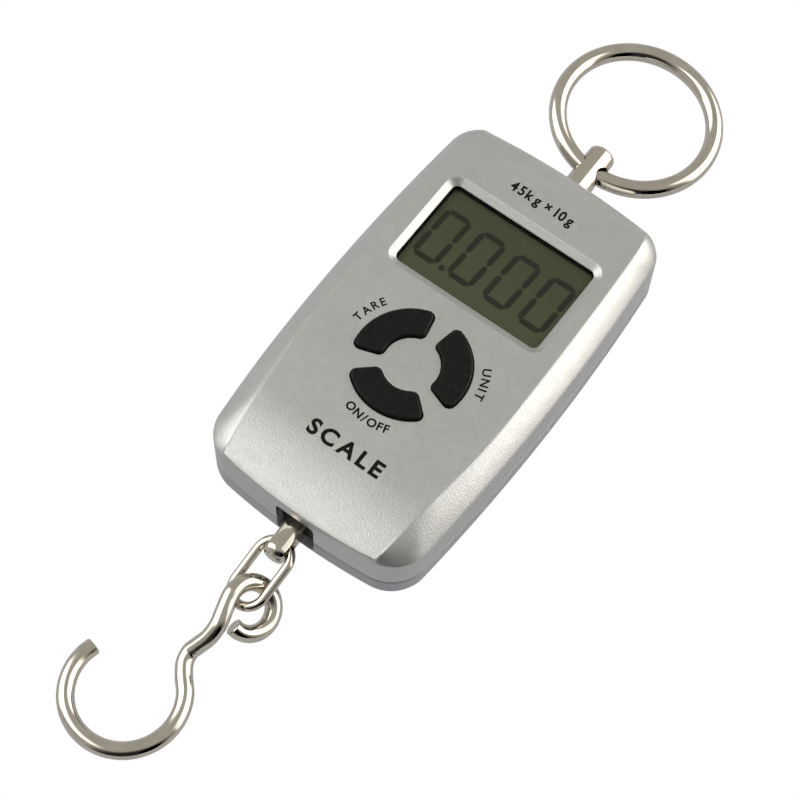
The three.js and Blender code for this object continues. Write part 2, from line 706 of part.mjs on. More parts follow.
// Two leads curl round the end of the board, and a third joins the cells at the other end.
function addBatteryLeads() {
  const y = WELL_HALF_LENGTH - 0.6;
  const boardLead = (side) => route([
    [side * BATTERY_X, y + 0.5, 14.4],
    [side * BATTERY_X, y + 4, 14.5],
    [side * 16, y + 9, 14.6],
    [side * 16, y + 13.5, 15.5],
    [side * 16, y + 12.6, 17.3],
    [side * 16, y + 10.6, 17.6],
  ], 0.5, 18);
  add('battery_lead_red', 'red_wire', boardLead(-1));
  add('battery_lead_black', 'black_wire', boardLead(1));
  add('battery_lead_link', 'black_wire', route([
    [-BATTERY_X + 0.6, -y - 0.75, 14.3],
    [-8, -y - 2, 14.5],
    [0, -y - 2, 14.7],
    [8, -y - 2, 14.5],
    [BATTERY_X - 0.6, -y - 0.75, 14.3],
  ], 0.3, 14));
}

// ---- Case screws ----

function addCaseScrews() {
  CASE_SCREWS.forEach(([x, y], i) => {
    add(`case_screw_${i + 1}`, 'steel', screw(x, y, 2.2, [2.4, 3.8], 1.05, 16));
  });
}

// ---- Ring, link and hook ----

function addRing() {
  const geometry = new THREE.TorusGeometry(RING_RADIUS, RING_WIRE, 14, 64);
  geometry.translate(0, RING_RADIUS, 0);
  const turn = new THREE.Matrix4().makeRotationZ(radians(-1.9))
    .multiply(new THREE.Matrix4().makeRotationX(radians(-2)))
    .multiply(new THREE.Matrix4().makeRotationY(radians(5)));
  geometry.applyMatrix4(turn).translate(0, RING_HINGE_Y, STUD_Z);
  add('hanging_ring', 'nickel', solid(geometry));
}

// An oval loop that starts at its upper end and runs round: two straight legs and two half circles.
class OvalLoop extends THREE.Curve {
  getPoint(t, target = new THREE.Vector3()) {
    const r = LINK_HALF_WIDTH;
    const straight = LINK_LENGTH - 2 * r;
    const bend = Math.PI * r;
    let s = (t % 1) * (2 * straight + 2 * bend);
    if (s < bend) {
      const a = s / r;
      return target.set(r * Math.cos(a), r * Math.sin(a) - r, 0);
    }
    s -= bend;
    if (s < straight) return target.set(-r, -r - s, 0);
    s -= straight;
    if (s < bend) {
      const a = Math.PI + s / r;
      return target.set(r * Math.cos(a), r * Math.sin(a) - r - straight, 0);
    }
    return target.set(r, -r - straight + (s - bend), 0);
  }
}

function addLink() {
  const geometry = new THREE.TubeGeometry(new OvalLoop(), 52, LINK_WIRE, 8, true);
  geometry.rotateY(radians(-13)).rotateX(radians(14)).rotateZ(radians(-1));
  geometry.translate(0, LINK_TOP_Y, STUD_Z);
  add('chain_link', 'nickel', solid(geometry));
}

// A point on the centre line of the hook's eye, a circle tilted about Y.
function eyePoint(degrees) {
  const a = radians(degrees);
  const u = EYE_RADIUS * Math.cos(a);
  const tilt = radians(EYE_TILT);
  return new THREE.Vector3(u * Math.cos(tilt), EYE_RADIUS * Math.sin(a), -u * Math.sin(tilt)).add(EYE_CENTRE);
}

// The wire starts in the eye, bends down to the shank and ends in the round hook.
function addHook() {
  const points = [];
  for (let degrees = -94; degrees <= 200; degrees += 14) points.push(eyePoint(degrees));
  points.push(
    new THREE.Vector3(-0.9, -78.6, 8.5),
    new THREE.Vector3(-0.3, -81.3, 7.6),
    new THREE.Vector3(-0.55, -84.2, 6),
    new THREE.Vector3(-1.7, -86.7, 4.2),
    new THREE.Vector3(-2.6, -88.7, 2.8),
    new THREE.Vector3(-2.2, -91.1, 2.2),
    new THREE.Vector3(-0.5, -93.6, 2.15),
  );
  for (let degrees = 35; degrees >= -201.6; degrees -= 13) {
    const a = radians(degrees);
    const onArc = new THREE.Vector3(HOOK_RADIUS * Math.cos(a), HOOK_RADIUS * Math.sin(a), 0);
    points.push(onArc.add(HOOK_CENTRE));
  }
  add('hook', 'nickel', sweep(points, HOOK_WIRE, 92, 14));
}

add('front_shell', 'silver', makeFrontShell());
add('rear_shell', 'grey', makeRearShell());
add('battery_door', 'grey', makeDoor());
addDisplay();
addKeys();
addBoard();
addLoadPath();
addGauges();
addBatteries();
addBatteryLeads();
addCaseScrews();
addRing();
addLink();
addHook();

export default part;
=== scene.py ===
"""The looks of the digital luggage scale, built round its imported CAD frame.

Metres, in the row frame: the origin is on the back face under the middle of the case,
+Z points out of the face with the display and +Y to the hanging ring.
"""

import math

import bmesh
import bpy
from mathutils import Matrix, Vector


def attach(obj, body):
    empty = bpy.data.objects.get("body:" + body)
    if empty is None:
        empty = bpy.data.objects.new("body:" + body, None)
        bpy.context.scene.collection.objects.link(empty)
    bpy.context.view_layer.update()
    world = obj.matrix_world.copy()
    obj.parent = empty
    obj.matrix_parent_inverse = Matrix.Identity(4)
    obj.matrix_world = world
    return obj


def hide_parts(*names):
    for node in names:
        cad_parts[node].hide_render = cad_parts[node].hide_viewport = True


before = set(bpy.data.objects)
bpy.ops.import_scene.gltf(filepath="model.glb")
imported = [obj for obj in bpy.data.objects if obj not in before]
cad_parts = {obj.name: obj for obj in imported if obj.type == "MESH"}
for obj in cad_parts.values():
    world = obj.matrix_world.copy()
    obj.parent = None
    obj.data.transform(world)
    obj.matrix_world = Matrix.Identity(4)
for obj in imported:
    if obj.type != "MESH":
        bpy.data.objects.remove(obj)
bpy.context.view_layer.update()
MM = 0.001

# ---- Case ----
HALF_WIDTH = 30.9
WIDEST_Y = 2.5
SIDE_RADIUS = 520
END_Y = 53.8
END_RADIUS = 180
TOP_CORNER = 7
BOTTOM_CORNER = 10
FACE_Z = 23.5
SIDE_RIM_Z = 18.8
CORNER_RIM_Z = 18.0
BOTTOM_RIM_Z = 19.1
BOTTOM_EDGE = 0.7
DROP_START_Y = -33
DROP = 3.7
PARTING_Z = 9.3
GAP = 0.3
BACK_ROUNDING = 5
WALL = 2.2
FLOOR_Z = 3
CREASE = [(21.3, -51.85), (23.35, -36), (25.4, -16), (25.6, 0), (25.4, 17), (25, 34), (24.3, 48.5)]
CREASE_TOP_Y = 48.5
CREASE_ROUND = 0.08
EDGE_START = 0.93
EDGE_DROP = 0.45
PARTING_CHAMFER = (0.3, 0.35)
FRONT_HOLLOW = [(0.9, 11.3), (WALL, 17.2), (5, 19.4)]
FRONT_HOLLOW_TOP = (6.5, 21.5)
FRONT_HOLLOW_LOW_Y = -37

# ---- Display and keys ----
WINDOW_X = 20.14
WINDOW_Y = (10.16, 35)
WINDOW_CHAMFER = 1.8
WINDOW_CORNER = 1.7
WINDOW_EDGE_Z = 22.3
LENS_X = 21.6
LENS_Y = (8.8, 36.4)
LENS_Z = (20.9, 21.7)
DISPLAY_X = 21
DISPLAY_Y = (9.2, 36)
DISPLAY_Z = (18.2, 20.6)
# Height of the black frame of painted shade round the display.
PAINTED_SHADE_FRAME_Z = (20.76, 20.84)
DIGIT_LEFTS = (-18.7, -8.7, 1.3, 11.3)
DIGIT_Y = 14.7
DIGIT_WIDTH = 7.2
DIGIT_HEIGHT = 14.9
DIGIT_STROKE = 1.25
DIGIT_LEAN = 0.04
DIGIT_GAP = 0.16
POINT = (-10.0, 15.4, 0.7)
KEY_Y = -10.2
KEY_INNER = 7.03
KEY_OUTER = 14
KEY_HALF_ANGLE = 47.3
KEY_CORNER = 1.4
KEY_EDGE = 0.6
KEY_FLANGE = 0.8
KEY_FLANGE_Z = (19, 20.2)
KEY_TOP_Z = 24.3
KEYS = [("unit_key", 30), ("tare_key", 150), ("power_key", 270)]
PRINT = 0.03

# ---- Inside and back ----
BOARD_TOP_Z = 16.8
BOARD_POSTS = [(18.3, 5.7), (-18.3, 5.7), (17, -31), (-17, -31)]
CASE_SCREWS = [(24.2, 41), (-24.2, 41), (24.2, -41), (-24.2, -41)]
CELL_SCREW_Y = (-33.5, -38)
CASE_SCREW_HOLE = 1.4
BOARD_SCREW_HOLE = 1.1
CELL_SCREW_HOLE = 1.15
CASE_SCREW_SINK = 2.6
CELL_SCREW_SINK = 1.85
FRONT_BOSS = 2.7
BOARD_POST = 2.2
REAR_POST = 3.5
CELL_POST = 2.1
WELL_WALL = 0.9
BATTERY_X = 13.2
WELL_HALF_LENGTH = 27
WELL_HALF_WIDTH = 5.95
WELL_CEILING_Z = 12.6
DOOR_HALF_WIDTH = 19.5
DOOR_START_Y = -29.5
DOOR_THICKNESS = 1.4
DOOR_RAIL = 1
DOOR_RAIL_Z = 0.8
GRIP_Y = -25
GRIP_STEP = 2.2
GRIP_WIDTH = 1.1

# ---- Ring, studs, link and hook ----
STUD_Z = 10.3
RING_Y = 63.57
RING_RADIUS = 19.64
RING_WIRE = 2.2
RING_HOLE = 2.85
TOP_STUD = 3.5
TOP_TIP_Y = 69.8
TOP_TIP_ROUND = 1.3
BOTTOM_STUD = 3.3
BOTTOM_STUD_FLAT = 2.3
BOTTOM_TIP_Y = 62.4
STUD_STEP_Y = 47.5
STUD_END_Y = 32.4
LINK_HINGE_Y = -58.2
LINK_TOP_Y = -57.8
LINK_HOLE = 1.9
LINK_WIRE = 1.15
LINK_HALF_WIDTH = 4.4
LINK_LENGTH = 17
HOOK_WIRE = 2.05
EYE = (2.51, -73.3, 5.75)
EYE_RADIUS = 5.8
EYE_TILT = 38
HOOK_CENTRE = (-8.25, -104.5, 2.15)
HOOK_RADIUS = 13.2
SLOT_HALF_WIDTH = 5.25
SLOT_Z = (4.5, 17)

# ---- Camera: millimetres and degrees ----
CAMERA_PLACE = (121.01, -193.86, 470.1)
CAMERA_TURN = (25.25, -1.215, 36.515)
FOCAL_LENGTH = 99.0
SENSOR_WIDTH = 36


# ---- Camera ----

def make_camera():
    """The photographer stands over the lower right corner of the case, half a metre up."""
    data = bpy.data.cameras.new("camera")
    data.lens = FOCAL_LENGTH
    data.sensor_width = SENSOR_WIDTH
    camera = bpy.data.objects.new("camera", data)
    bpy.context.scene.collection.objects.link(camera)
    camera.location = [c * MM for c in CAMERA_PLACE]
    camera.rotation_euler = [math.radians(angle) for angle in CAMERA_TURN]
    bpy.context.scene.camera = camera


make_camera()


# ---- Node helpers ----

class Paint:
    """A node material in the making. Coordinates are the row frame's, in millimetres."""

    def __init__(self, name):
        self.material = bpy.data.materials.new(name)
        self.material.use_nodes = True
        self.tree = self.material.node_tree
        self.shader = self.tree.nodes["Principled BSDF"]
        where = self.node("ShaderNodeTexCoord")
        scale = self.node("ShaderNodeVectorMath", operation="SCALE")
        scale.inputs["Scale"].default_value = 1000
        self.link(where.outputs["Object"], scale.inputs[0])
        self.place = scale.outputs["Vector"]

    def node(self, kind, **settings):
        made = self.tree.nodes.new(kind)
        for key, value in settings.items():
            setattr(made, key, value)
        return made

    def link(self, source, target):
        self.tree.links.new(source, target)

    def set(self, **values):
        for key, value in values.items():
            name = key.replace("_", " ")
            self.shader.inputs[name].default_value = value

    def noise(self, scale, detail=3, roughness=0.5, stretch=None):
        made = self.node("ShaderNodeTexNoise")
        made.inputs["Scale"].default_value = scale
        made.inputs["Detail"].default_value = detail
        made.inputs["Roughness"].default_value = roughness
        source = self.place
        if stretch:
            mapping = self.node("ShaderNodeMapping")
            mapping.inputs["Scale"].default_value = stretch
            self.link(self.place, mapping.inputs["Vector"])
            source = mapping.outputs["Vector"]
        self.link(source, made.inputs["Vector"])
        return made.outputs["Fac"]

    def spread(self, value, low, high, to_low, to_high):
        made = self.node("ShaderNodeMapRange")
        for name, number in (
            ("From Min", low), ("From Max", high), ("To Min", to_low), ("To Max", to_high),
        ):
            made.inputs[name].default_value = number
        self.link(value, made.inputs["Value"])
        return made.outputs["Result"]

    def ramp(self, value, *stops):
        made = self.node("ShaderNodeValToRGB")
        elements = made.color_ramp.elements
        while len(elements) < len(stops):
            elements.new(0.5)
        for element, (position, colour) in zip(elements, stops):
            element.position = position
            element.color = (*colour, 1)
        self.link(value, made.inputs["Fac"])
        return made.outputs["Color"]

    def colour(self, socket):
        self.link(socket, self.shader.inputs["Base Color"])

    def rough(self, socket):
        self.link(socket, self.shader.inputs["Roughness"])

    def bump(self, height, strength, distance, edge=None):
        """Bump from a height, over edges softened by a radius in millimetres."""
        made = self.node("ShaderNodeBump")
        made.inputs["Strength"].default_value = strength
        made.inputs["Distance"].default_value = distance * MM
        self.link(height, made.inputs["Height"])
        if edge:
            soft = self.node("ShaderNodeBevel", samples=6)
            soft.inputs["Radius"].default_value = edge * MM
            self.link(soft.outputs["Normal"], made.inputs["Normal"])
        self.link(made.outputs["Normal"], self.shader.inputs["Normal"])


def plastic(name, dark, light, rough, metallic, edge, grain=0.35):
    """Sprayed plastic: a fine orange-peel grain, faint blotches and a satin sheen."""
    paint = Paint(name)
    blotches = paint.noise(0.06, 4)
    paint.colour(paint.ramp(blotches, (0.3, dark), (0.7, light)))
    wear = paint.noise(0.5, 5, 0.6)
    paint.rough(paint.spread(wear, 0.3, 0.7, rough - 0.04, rough + 0.05))
    paint.set(Metallic=metallic, IOR=1.5)
    paint.bump(paint.noise(2.3, 2, 0.6), grain, 0.05, edge)
    return paint.material


def rubber(name, colour, light, edge):
    paint = Paint(name)
    paint.colour(paint.ramp(paint.noise(1.1, 6, 0.65), (0.35, colour), (0.75, light)))
    paint.rough(paint.spread(paint.noise(2.5, 3), 0.3, 0.7, 0.36, 0.6))
    paint.set(Specular_IOR_Level=0.16)
    paint.bump(paint.noise(2.5, 3), 0.4, 0.03, edge)
    return paint.material


def metal(name, dark, light, rough, edge, streaks=(1, 1, 1), scale=2.0, strength=0.08):
    """Plated or milled metal with fine rubbing marks."""
    paint = Paint(name)
    paint.colour(paint.ramp(paint.noise(0.25, 4), (0.3, dark), (0.7, light)))
    marks = paint.noise(scale, 5, 0.65, streaks)
    paint.rough(paint.spread(marks, 0.35, 0.75, rough * 0.75, rough * 1.5))
    paint.set(Metallic=1.0)
    paint.bump(marks, strength, 0.01, edge)
    return paint.material


def ink(name, colour):
    paint = Paint(name)
    light = tuple(c * 1.5 + 0.003 for c in colour)
    paint.colour(paint.ramp(paint.noise(3, 3), (0.35, colour), (0.75, light)))
    paint.rough(paint.spread(paint.noise(5, 2), 0.3, 0.7, 0.45, 0.6))
    paint.set(Specular_IOR_Level=0.12)
    return paint.material


def glass_sheet(name):
    """A clear, thin sheet: it lets nearly everything through and mirrors a little."""
    paint = Paint(name)
    tree = paint.tree
    output = tree.nodes["Material Output"]
    clear = paint.node("ShaderNodeBsdfTransparent")
    clear.inputs["Color"].default_value = (0.93, 0.94, 0.92, 1)
    gloss = paint.node("ShaderNodeBsdfGlossy")
    gloss.inputs["Color"].default_value = (1, 1, 1, 1)
    smudge = paint.spread(paint.noise(0.12, 5, 0.6), 0.3, 0.7, 0.02, 0.06)
    paint.link(smudge, gloss.inputs["Roughness"])
    fresnel = paint.node("ShaderNodeFresnel")
    fresnel.inputs["IOR"].default_value = 1.22
    mix = paint.node("ShaderNodeMixShader")
    paint.link(fresnel.outputs["Fac"], mix.inputs["Fac"])
    paint.link(clear.outputs["BSDF"], mix.inputs[1])
    paint.link(gloss.outputs["BSDF"], mix.inputs[2])
    paint.link(mix.outputs["Shader"], output.inputs["Surface"])
    return paint.material


def display_paint():
    """Reflective display glass: olive green, with painted light that makes it a little lighter towards
    the lower edge.
    """
    paint = Paint("display_olive")
    split = paint.node("ShaderNodeSeparateXYZ")
    paint.link(paint.place, split.inputs["Vector"])
    # Painted light: the height share lightens the colour towards the lower edge. The noise cloud is the
    # glass's own uneven tone.
    height = paint.spread(split.outputs["Y"], WINDOW_Y[0], WINDOW_Y[1], 0, 1)
    cloud = paint.noise(0.08, 3)
    cloud_and_painted_light = paint.node("ShaderNodeMath", operation="MULTIPLY_ADD")
    paint.link(cloud, cloud_and_painted_light.inputs[0])
    cloud_and_painted_light.inputs[1].default_value = 0.5
    paint.link(height, cloud_and_painted_light.inputs[2])
    paint.colour(paint.ramp(
        cloud_and_painted_light.outputs["Value"], (0.1, (0.136, 0.144, 0.080)), (1.0, (0.108, 0.115, 0.064)),
    ))
    paint.rough(paint.spread(paint.noise(0.3, 3), 0.3, 0.7, 0.3, 0.4))
    paint.set(Specular_IOR_Level=0.1)
    paint.bump(paint.noise(0.2, 1), 0.05, 0.01)
    return paint.material


def board_paint():
    paint = Paint("solder_mask")
    tracks = paint.node("ShaderNodeTexBrick")
    tracks.inputs["Scale"].default_value = 0.4
    tracks.inputs["Mortar Size"].default_value = 0.05
    tracks.inputs["Color1"].default_value = (0.012, 0.085, 0.030, 1)
    tracks.inputs["Color2"].default_value = (0.010, 0.070, 0.026, 1)
    tracks.inputs["Mortar"].default_value = (0.030, 0.160, 0.060, 1)
    paint.link(paint.place, tracks.inputs["Vector"])
    paint.colour(tracks.outputs["Color"])
    paint.rough(paint.spread(paint.noise(1, 3), 0.3, 0.7, 0.3, 0.45))
    paint.bump(tracks.outputs["Fac"], 0.3, 0.03, 0.1)
    return paint.material


SILVER = plastic("silver_paint", (0.53, 0.53, 0.515), (0.57, 0.57, 0.555), 0.34, 0.75, 0.3, 1.0)
GREY = plastic("grey_plastic", (0.40, 0.40, 0.42), (0.44, 0.44, 0.46), 0.42, 0.4, 0.25, 0.4)
WHITE = plastic("white_plastic", (0.72, 0.72, 0.70), (0.80, 0.80, 0.78), 0.4, 0.0, 0.1, 0.1)
KEY_BLACK = rubber("key_rubber", (0.002, 0.002, 0.0018), (0.011, 0.011, 0.0095), 0.12)
NICKEL = metal("bright_nickel", (0.59, 0.55, 0.46), (0.68, 0.64, 0.55), 0.09, None, strength=0.03)
STEEL = metal("zinc_steel", (0.46, 0.46, 0.44), (0.58, 0.58, 0.56), 0.3, 0.1)
SPRING_STEEL = metal("contact_steel", (0.55, 0.54, 0.50), (0.66, 0.65, 0.61), 0.2, 0.05)
ALUMINIUM = metal(
    "milled_aluminium", (0.58, 0.59, 0.60), (0.68, 0.69, 0.70), 0.32, 0.1,
    streaks=(6, 0.4, 6), strength=0.2,
)
LEGEND = ink("legend_ink", (0.003, 0.003, 0.0028))
SEGMENT = ink("display_segment", (0.027, 0.030, 0.020))
# Painted shadow: the mid tone of the grown outline round each segment.
SEGMENT_PAINTED_SHADOW = ink("display_segment_painted_shadow", (0.048, 0.052, 0.032))
DISPLAY = display_paint()
CLEAR = glass_sheet("clear_sheet")
BOARD = board_paint()
RESIN = plastic("black_resin", (0.006, 0.006, 0.006), (0.010, 0.010, 0.010), 0.25, 0.0, 0.1, 0.1)
FOIL = plastic("amber_foil", (0.36, 0.20, 0.045), (0.46, 0.27, 0.07), 0.35, 0.2, 0.02, 0.1)
JACKET = plastic("battery_jacket", (0.030, 0.085, 0.20), (0.040, 0.105, 0.24), 0.28, 0.1, 0.1, 0.1)
RED = plastic("red_insulation", (0.36, 0.018, 0.010), (0.44, 0.028, 0.015), 0.45, 0.0, 0.05, 0.1)
BLACK = plastic("black_insulation", (0.010, 0.010, 0.011), (0.016, 0.016, 0.017), 0.45, 0.0, 0.05, 0.1)


# ---- Mesh helpers: all take millimetres ----

def new_object(name, points, faces):
    mesh = bpy.data.meshes.new(name)
    mesh.from_pydata([tuple(c * MM for c in p) for p in points], [], faces)
    mesh.validate()
    made = bpy.data.objects.new(name, mesh)
    bpy.context.scene.collection.objects.link(made)
    return made


def loft(name, rings):
    """A closed body through rings of equal point counts, with a fan over both ends."""
    count = len(rings[0])
    points = [p for ring in rings for p in ring]
    faces = []
    for r in range(len(rings) - 1):
        for i in range(count):
            j = (i + 1) % count
            a = r * count
            b = a + count
            faces.append((a + i, a + j, b + j, b + i))
    for ring, base, flip in ((rings[0], 0, True), (rings[-1], (len(rings) - 1) * count, False)):
        centre = len(points)
        points.append(tuple(sum(p[k] for p in ring) / count for k in range(3)))
        for i in range(count):
            j = (i + 1) % count
            face = (base + i, base + j, centre)
            faces.append(face[::-1] if flip else face)
    return new_object(name, points, faces)


def prism(name, outline, low, high):
    top = [(x, y, high) for x, y in outline]
    return loft(name, [[(x, y, low) for x, y in outline], top])


def boxes(name, *extents):
    """Separate boxes in one mesh; each is ((x0, x1), (y0, y1), (z0, z1))."""
    points, faces = [], []
    for x, y, z in extents:
        n = len(points)
        points += [(x[i & 1], y[i >> 1 & 1], z[i >> 2]) for i in range(8)]
        for face in ((0, 2, 3, 1), (4, 5, 7, 6), (0, 1, 5, 4), (2, 6, 7, 3), (0, 4, 6, 2), (1, 3, 7, 5)):
            faces.append(tuple(n + i for i in face))
    return new_object(name, points, faces)


def turned(name, profile, axis, centre, sides=64):
    """A profile of (radius, distance) pairs, on the axis at both ends, turned about an axis."""
    start, end = profile[0], profile[-1]
    points, faces, rings = [], [], []
    for radius, along in profile[1:-1]:
        rings.append(len(points))
        for i in range(sides):
            a = 2 * math.pi * i / sides
            points.append((radius * math.cos(a), radius * math.sin(a), along))
    for a, b in zip(rings, rings[1:]):
        for i in range(sides):
            j = (i + 1) % sides
            faces.append((a + i, a + j, b + j, b + i))
    for base, (_, along), flip in ((rings[0], start, True), (rings[-1], end, False)):
        tip = len(points)
        points.append((0, 0, along))
        for i in range(sides):
            face = (base + i, base + (i + 1) % sides, tip)
            faces.append(face[::-1] if flip else face)
    turn = {"X": lambda p: (p[2], p[0], p[1]), "Y": lambda p: (p[1], p[2], p[0]), "Z": lambda p: p}[axis]
    moved = [tuple(c + o for c, o in zip(turn(p), centre)) for p in points]
    return new_object(name, moved, faces)


def rods(name, axis, radius, places, low, high, sides=40):
    """Separate plain rods in one mesh, along an axis from low to high."""
    made = [turned(
        name, [(0, low), (radius, low), (radius, high), (0, high)], axis, place, sides,
    ) for place in places]
    return join(name, made)


def join(name, objects):
    first = objects[0]
    if len(objects) > 1:
        with bpy.context.temp_override(active_object=first, selected_editable_objects=objects):
            bpy.ops.object.join()
    first.name = name
    return first


def tube(name, path, radius, closed=False, sides=40, chamfer=0.0):
    """A round wire along a path of points."""
    path = [Vector(p) for p in path]
    count = len(path)
    tangents = []
    for i in range(count):
        before = path[i - 1] if (i or closed) else path[0]
        after = path[(i + 1) % count] if (i + 1 < count or closed) else path[-1]
        tangents.append((after - before).normalized())
    across = tangents[0].orthogonal().normalized()
    frames = [across]
    for previous, tangent in zip(tangents, tangents[1:]):
        across = previous.rotation_difference(tangent) @ across
        across = (across - tangent * across.dot(tangent)).normalized()
        frames.append(across)
    twist = 0.0
    if closed:
        last = tangents[-1].rotation_difference(tangents[0]) @ frames[-1]
        twist = math.atan2(last.cross(frames[0]).dot(tangents[0]), last.dot(frames[0]))
    rings = []
    for i, (centre, tangent, across) in enumerate(zip(path, tangents, frames)):
        side = tangent.cross(across)
        shift = twist * i / count
        ring = []
        for k in range(sides):
            a = 2 * math.pi * k / sides + shift
            ring.append(tuple(centre + (across * math.cos(a) + side * math.sin(a)) * radius))
        rings.append(ring)
    if closed:
        points = [p for ring in rings for p in ring]
        faces = []
        for r in range(count):
            s = (r + 1) % count
            for i in range(sides):
                j = (i + 1) % sides
                faces.append((r * sides + i, r * sides + j, s * sides + j, s * sides + i))
        return new_object(name, points, faces)
    if chamfer:
        for end, outward in ((0, -tangents[0]), (-1, tangents[-1])):
            centre = path[end]
            ring = rings[end]
            small = [tuple(centre + (Vector(p) - centre) * (1 - chamfer / radius)) for p in ring]
            back = [tuple(Vector(p) - outward * chamfer) for p in ring]
            rings[end] = back
            rings.insert(0 if end == 0 else len(rings), small)
    return loft(name, rings)


def evaluated(target):
    """Applies the object's modifiers to its mesh."""
    graph = bpy.context.evaluated_depsgraph_get()
    mesh = bpy.data.meshes.new_from_object(target.evaluated_get(graph))
    target.modifiers.clear()
    target.data = mesh
    return target


def boolean(target, tools, operation="DIFFERENCE"):
    for tool in tools:
        modifier = target.modifiers.new("boolean", "BOOLEAN")
        modifier.operation = operation
        modifier.solver = "MANIFOLD"
        modifier.object = tool
    bpy.context.view_layer.update()
    evaluated(target)
    for tool in tools:
        bpy.data.objects.remove(tool)
    return target


def cut(target, *tools):
    return boolean(target, tools)


def smooth(target, degrees=35.0):
    mesh = target.data
    mesh.shade_smooth()
    mesh.set_sharp_from_angle(angle=math.radians(degrees))
    return target


def dress(target, material):
    target.data.materials.clear()
    target.data.materials.append(material)
    for polygon in target.data.polygons:
        polygon.material_index = 0
    return target


def finish_piece(target, material, body, replaced=(), degrees=35.0):
    smooth(target, degrees)
    dress(target, material)
    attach(target, body)
    if replaced:
        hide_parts(*replaced)
    return target


# ---- Curves ----

def arc(cx, cy, radius, start, end, steps):
    return [(
        cx + radius * math.cos(start + (end - start) * i / steps),
        cy + radius * math.sin(start + (end - start) * i / steps),
    ) for i in range(steps + 1)]


def rounded_rectangle(x, y, radius, steps=12):
    q = math.pi / 2
    return (
        arc(x[1] - radius, y[0] + radius, radius, -q, 0, steps)
        + arc(x[1] - radius, y[1] - radius, radius, 0, q, steps)
        + arc(x[0] + radius, y[1] - radius, radius, q, 2 * q, steps)
        + arc(x[0] + radius, y[0] + radius, radius, 2 * q, 3 * q, steps)
    )


def spline(points, per_span):
    """A smooth curve through points: the centripetal Catmull-Rom curve."""
    points = [Vector(p) for p in points]
    ends = [points[0] * 2 - points[1], *points, points[-1] * 2 - points[-2]]
    result = []
    for p0, p1, p2, p3 in zip(ends, ends[1:], ends[2:], ends[3:]):
        d0, d1, d2 = (max((b - a).length, 1e-6) ** 0.5 for a, b in ((p0, p1), (p1, p2), (p2, p3)))
        m1 = ((p1 - p0) / d0 - (p2 - p0) / (d0 + d1) + (p2 - p1) / d1) * d1
        m2 = ((p2 - p1) / d1 - (p3 - p1) / (d1 + d2) + (p3 - p2) / d2) * d1
        for i in range(per_span):
            t = i / per_span
            result.append(
                p1 * (2 * t ** 3 - 3 * t ** 2 + 1) + m1 * (t ** 3 - 2 * t ** 2 + t)
                + p2 * (-2 * t ** 3 + 3 * t ** 2) + m2 * (t ** 3 - t ** 2)
            )
    return [*result, points[-1]]


def lengths(points):
    total, result = 0.0, [0.0]
    for a, b in zip(points, points[1:]):
        total += (Vector(b) - Vector(a)).length
        result.append(total)
    return result


def at_fraction(points, marks, fraction):
    """The point at a fraction of the path's length."""
    wanted = fraction * marks[-1]
    for i in range(1, len(points)):
        if marks[i] >= wanted - 1e-9:
            t = (wanted - marks[i - 1]) / max(marks[i] - marks[i - 1], 1e-9)
            return Vector(points[i - 1]).lerp(Vector(points[i]), t)
    return Vector(points[-1])


# ---- Case outline ----

def corner(end_centre, radius):
    """Where a corner arc meets the side arc and the end arc: its centre and two directions."""
    side = (HALF_WIDTH - SIDE_RADIUS, WIDEST_Y)
    r1, r2 = SIDE_RADIUS - radius, END_RADIUS - radius
    dx, dy = -side[0], end_centre - side[1]
    d = math.hypot(dx, dy)
    along = (r1 * r1 - r2 * r2 + d * d) / (2 * d)
    across = math.sqrt(r1 * r1 - along * along) * (1 if end_centre > 0 else -1)
    x = side[0] + (along * dx + across * dy) / d
    y = side[1] + (along * dy - across * dx) / d
    return x, y, math.atan2(y - side[1], x - side[0]), math.atan2(y - end_centre, x)


TOP_END_CENTRE = END_Y - END_RADIUS
BOTTOM_END_CENTRE = END_RADIUS - END_Y
TOP = corner(TOP_END_CENTRE, TOP_CORNER)
BOTTOM = corner(BOTTOM_END_CENTRE, BOTTOM_CORNER)
END_STEPS = 16
CORNER_STEPS = 22
SIDE_STEPS = 70


def right_half(inset):
    """The right half of the outline from the bottom middle to the top middle."""
    q = math.pi / 2
    side_centre = HALF_WIDTH - SIDE_RADIUS
    parts = [
        arc(0, BOTTOM_END_CENTRE, END_RADIUS - inset, -q, BOTTOM[3], END_STEPS),
        arc(BOTTOM[0], BOTTOM[1], BOTTOM_CORNER - inset, BOTTOM[3], BOTTOM[2], CORNER_STEPS),
        arc(side_centre, WIDEST_Y, SIDE_RADIUS - inset, BOTTOM[2], TOP[2], SIDE_STEPS),
        arc(TOP[0], TOP[1], TOP_CORNER - inset, TOP[2], TOP[3], CORNER_STEPS),
        arc(0, TOP_END_CENTRE, END_RADIUS - inset, TOP[3], q, END_STEPS),
    ]
    return parts[0] + [p for part in parts[1:] for p in part[1:]]


def mirrored(half):
    return half + [(-p[0], *p[1:]) for p in reversed(half[1:-1])]


def outline(inset):
    return mirrored(right_half(inset))


def outline_at(inset, z):
    return [(x, y, z) for x, y in outline(inset)]


def panel_z(y):
    past = max(0, DROP_START_Y - y) / (DROP_START_Y + END_Y)
    return FACE_Z - DROP * past * past


def mix(a, b, t):
    return a + (b - a) * t


def smoothstep(t, low, high):
    t = min(1, max(0, (t - low) / (high - low)))
    return t * t * (3 - 2 * t)


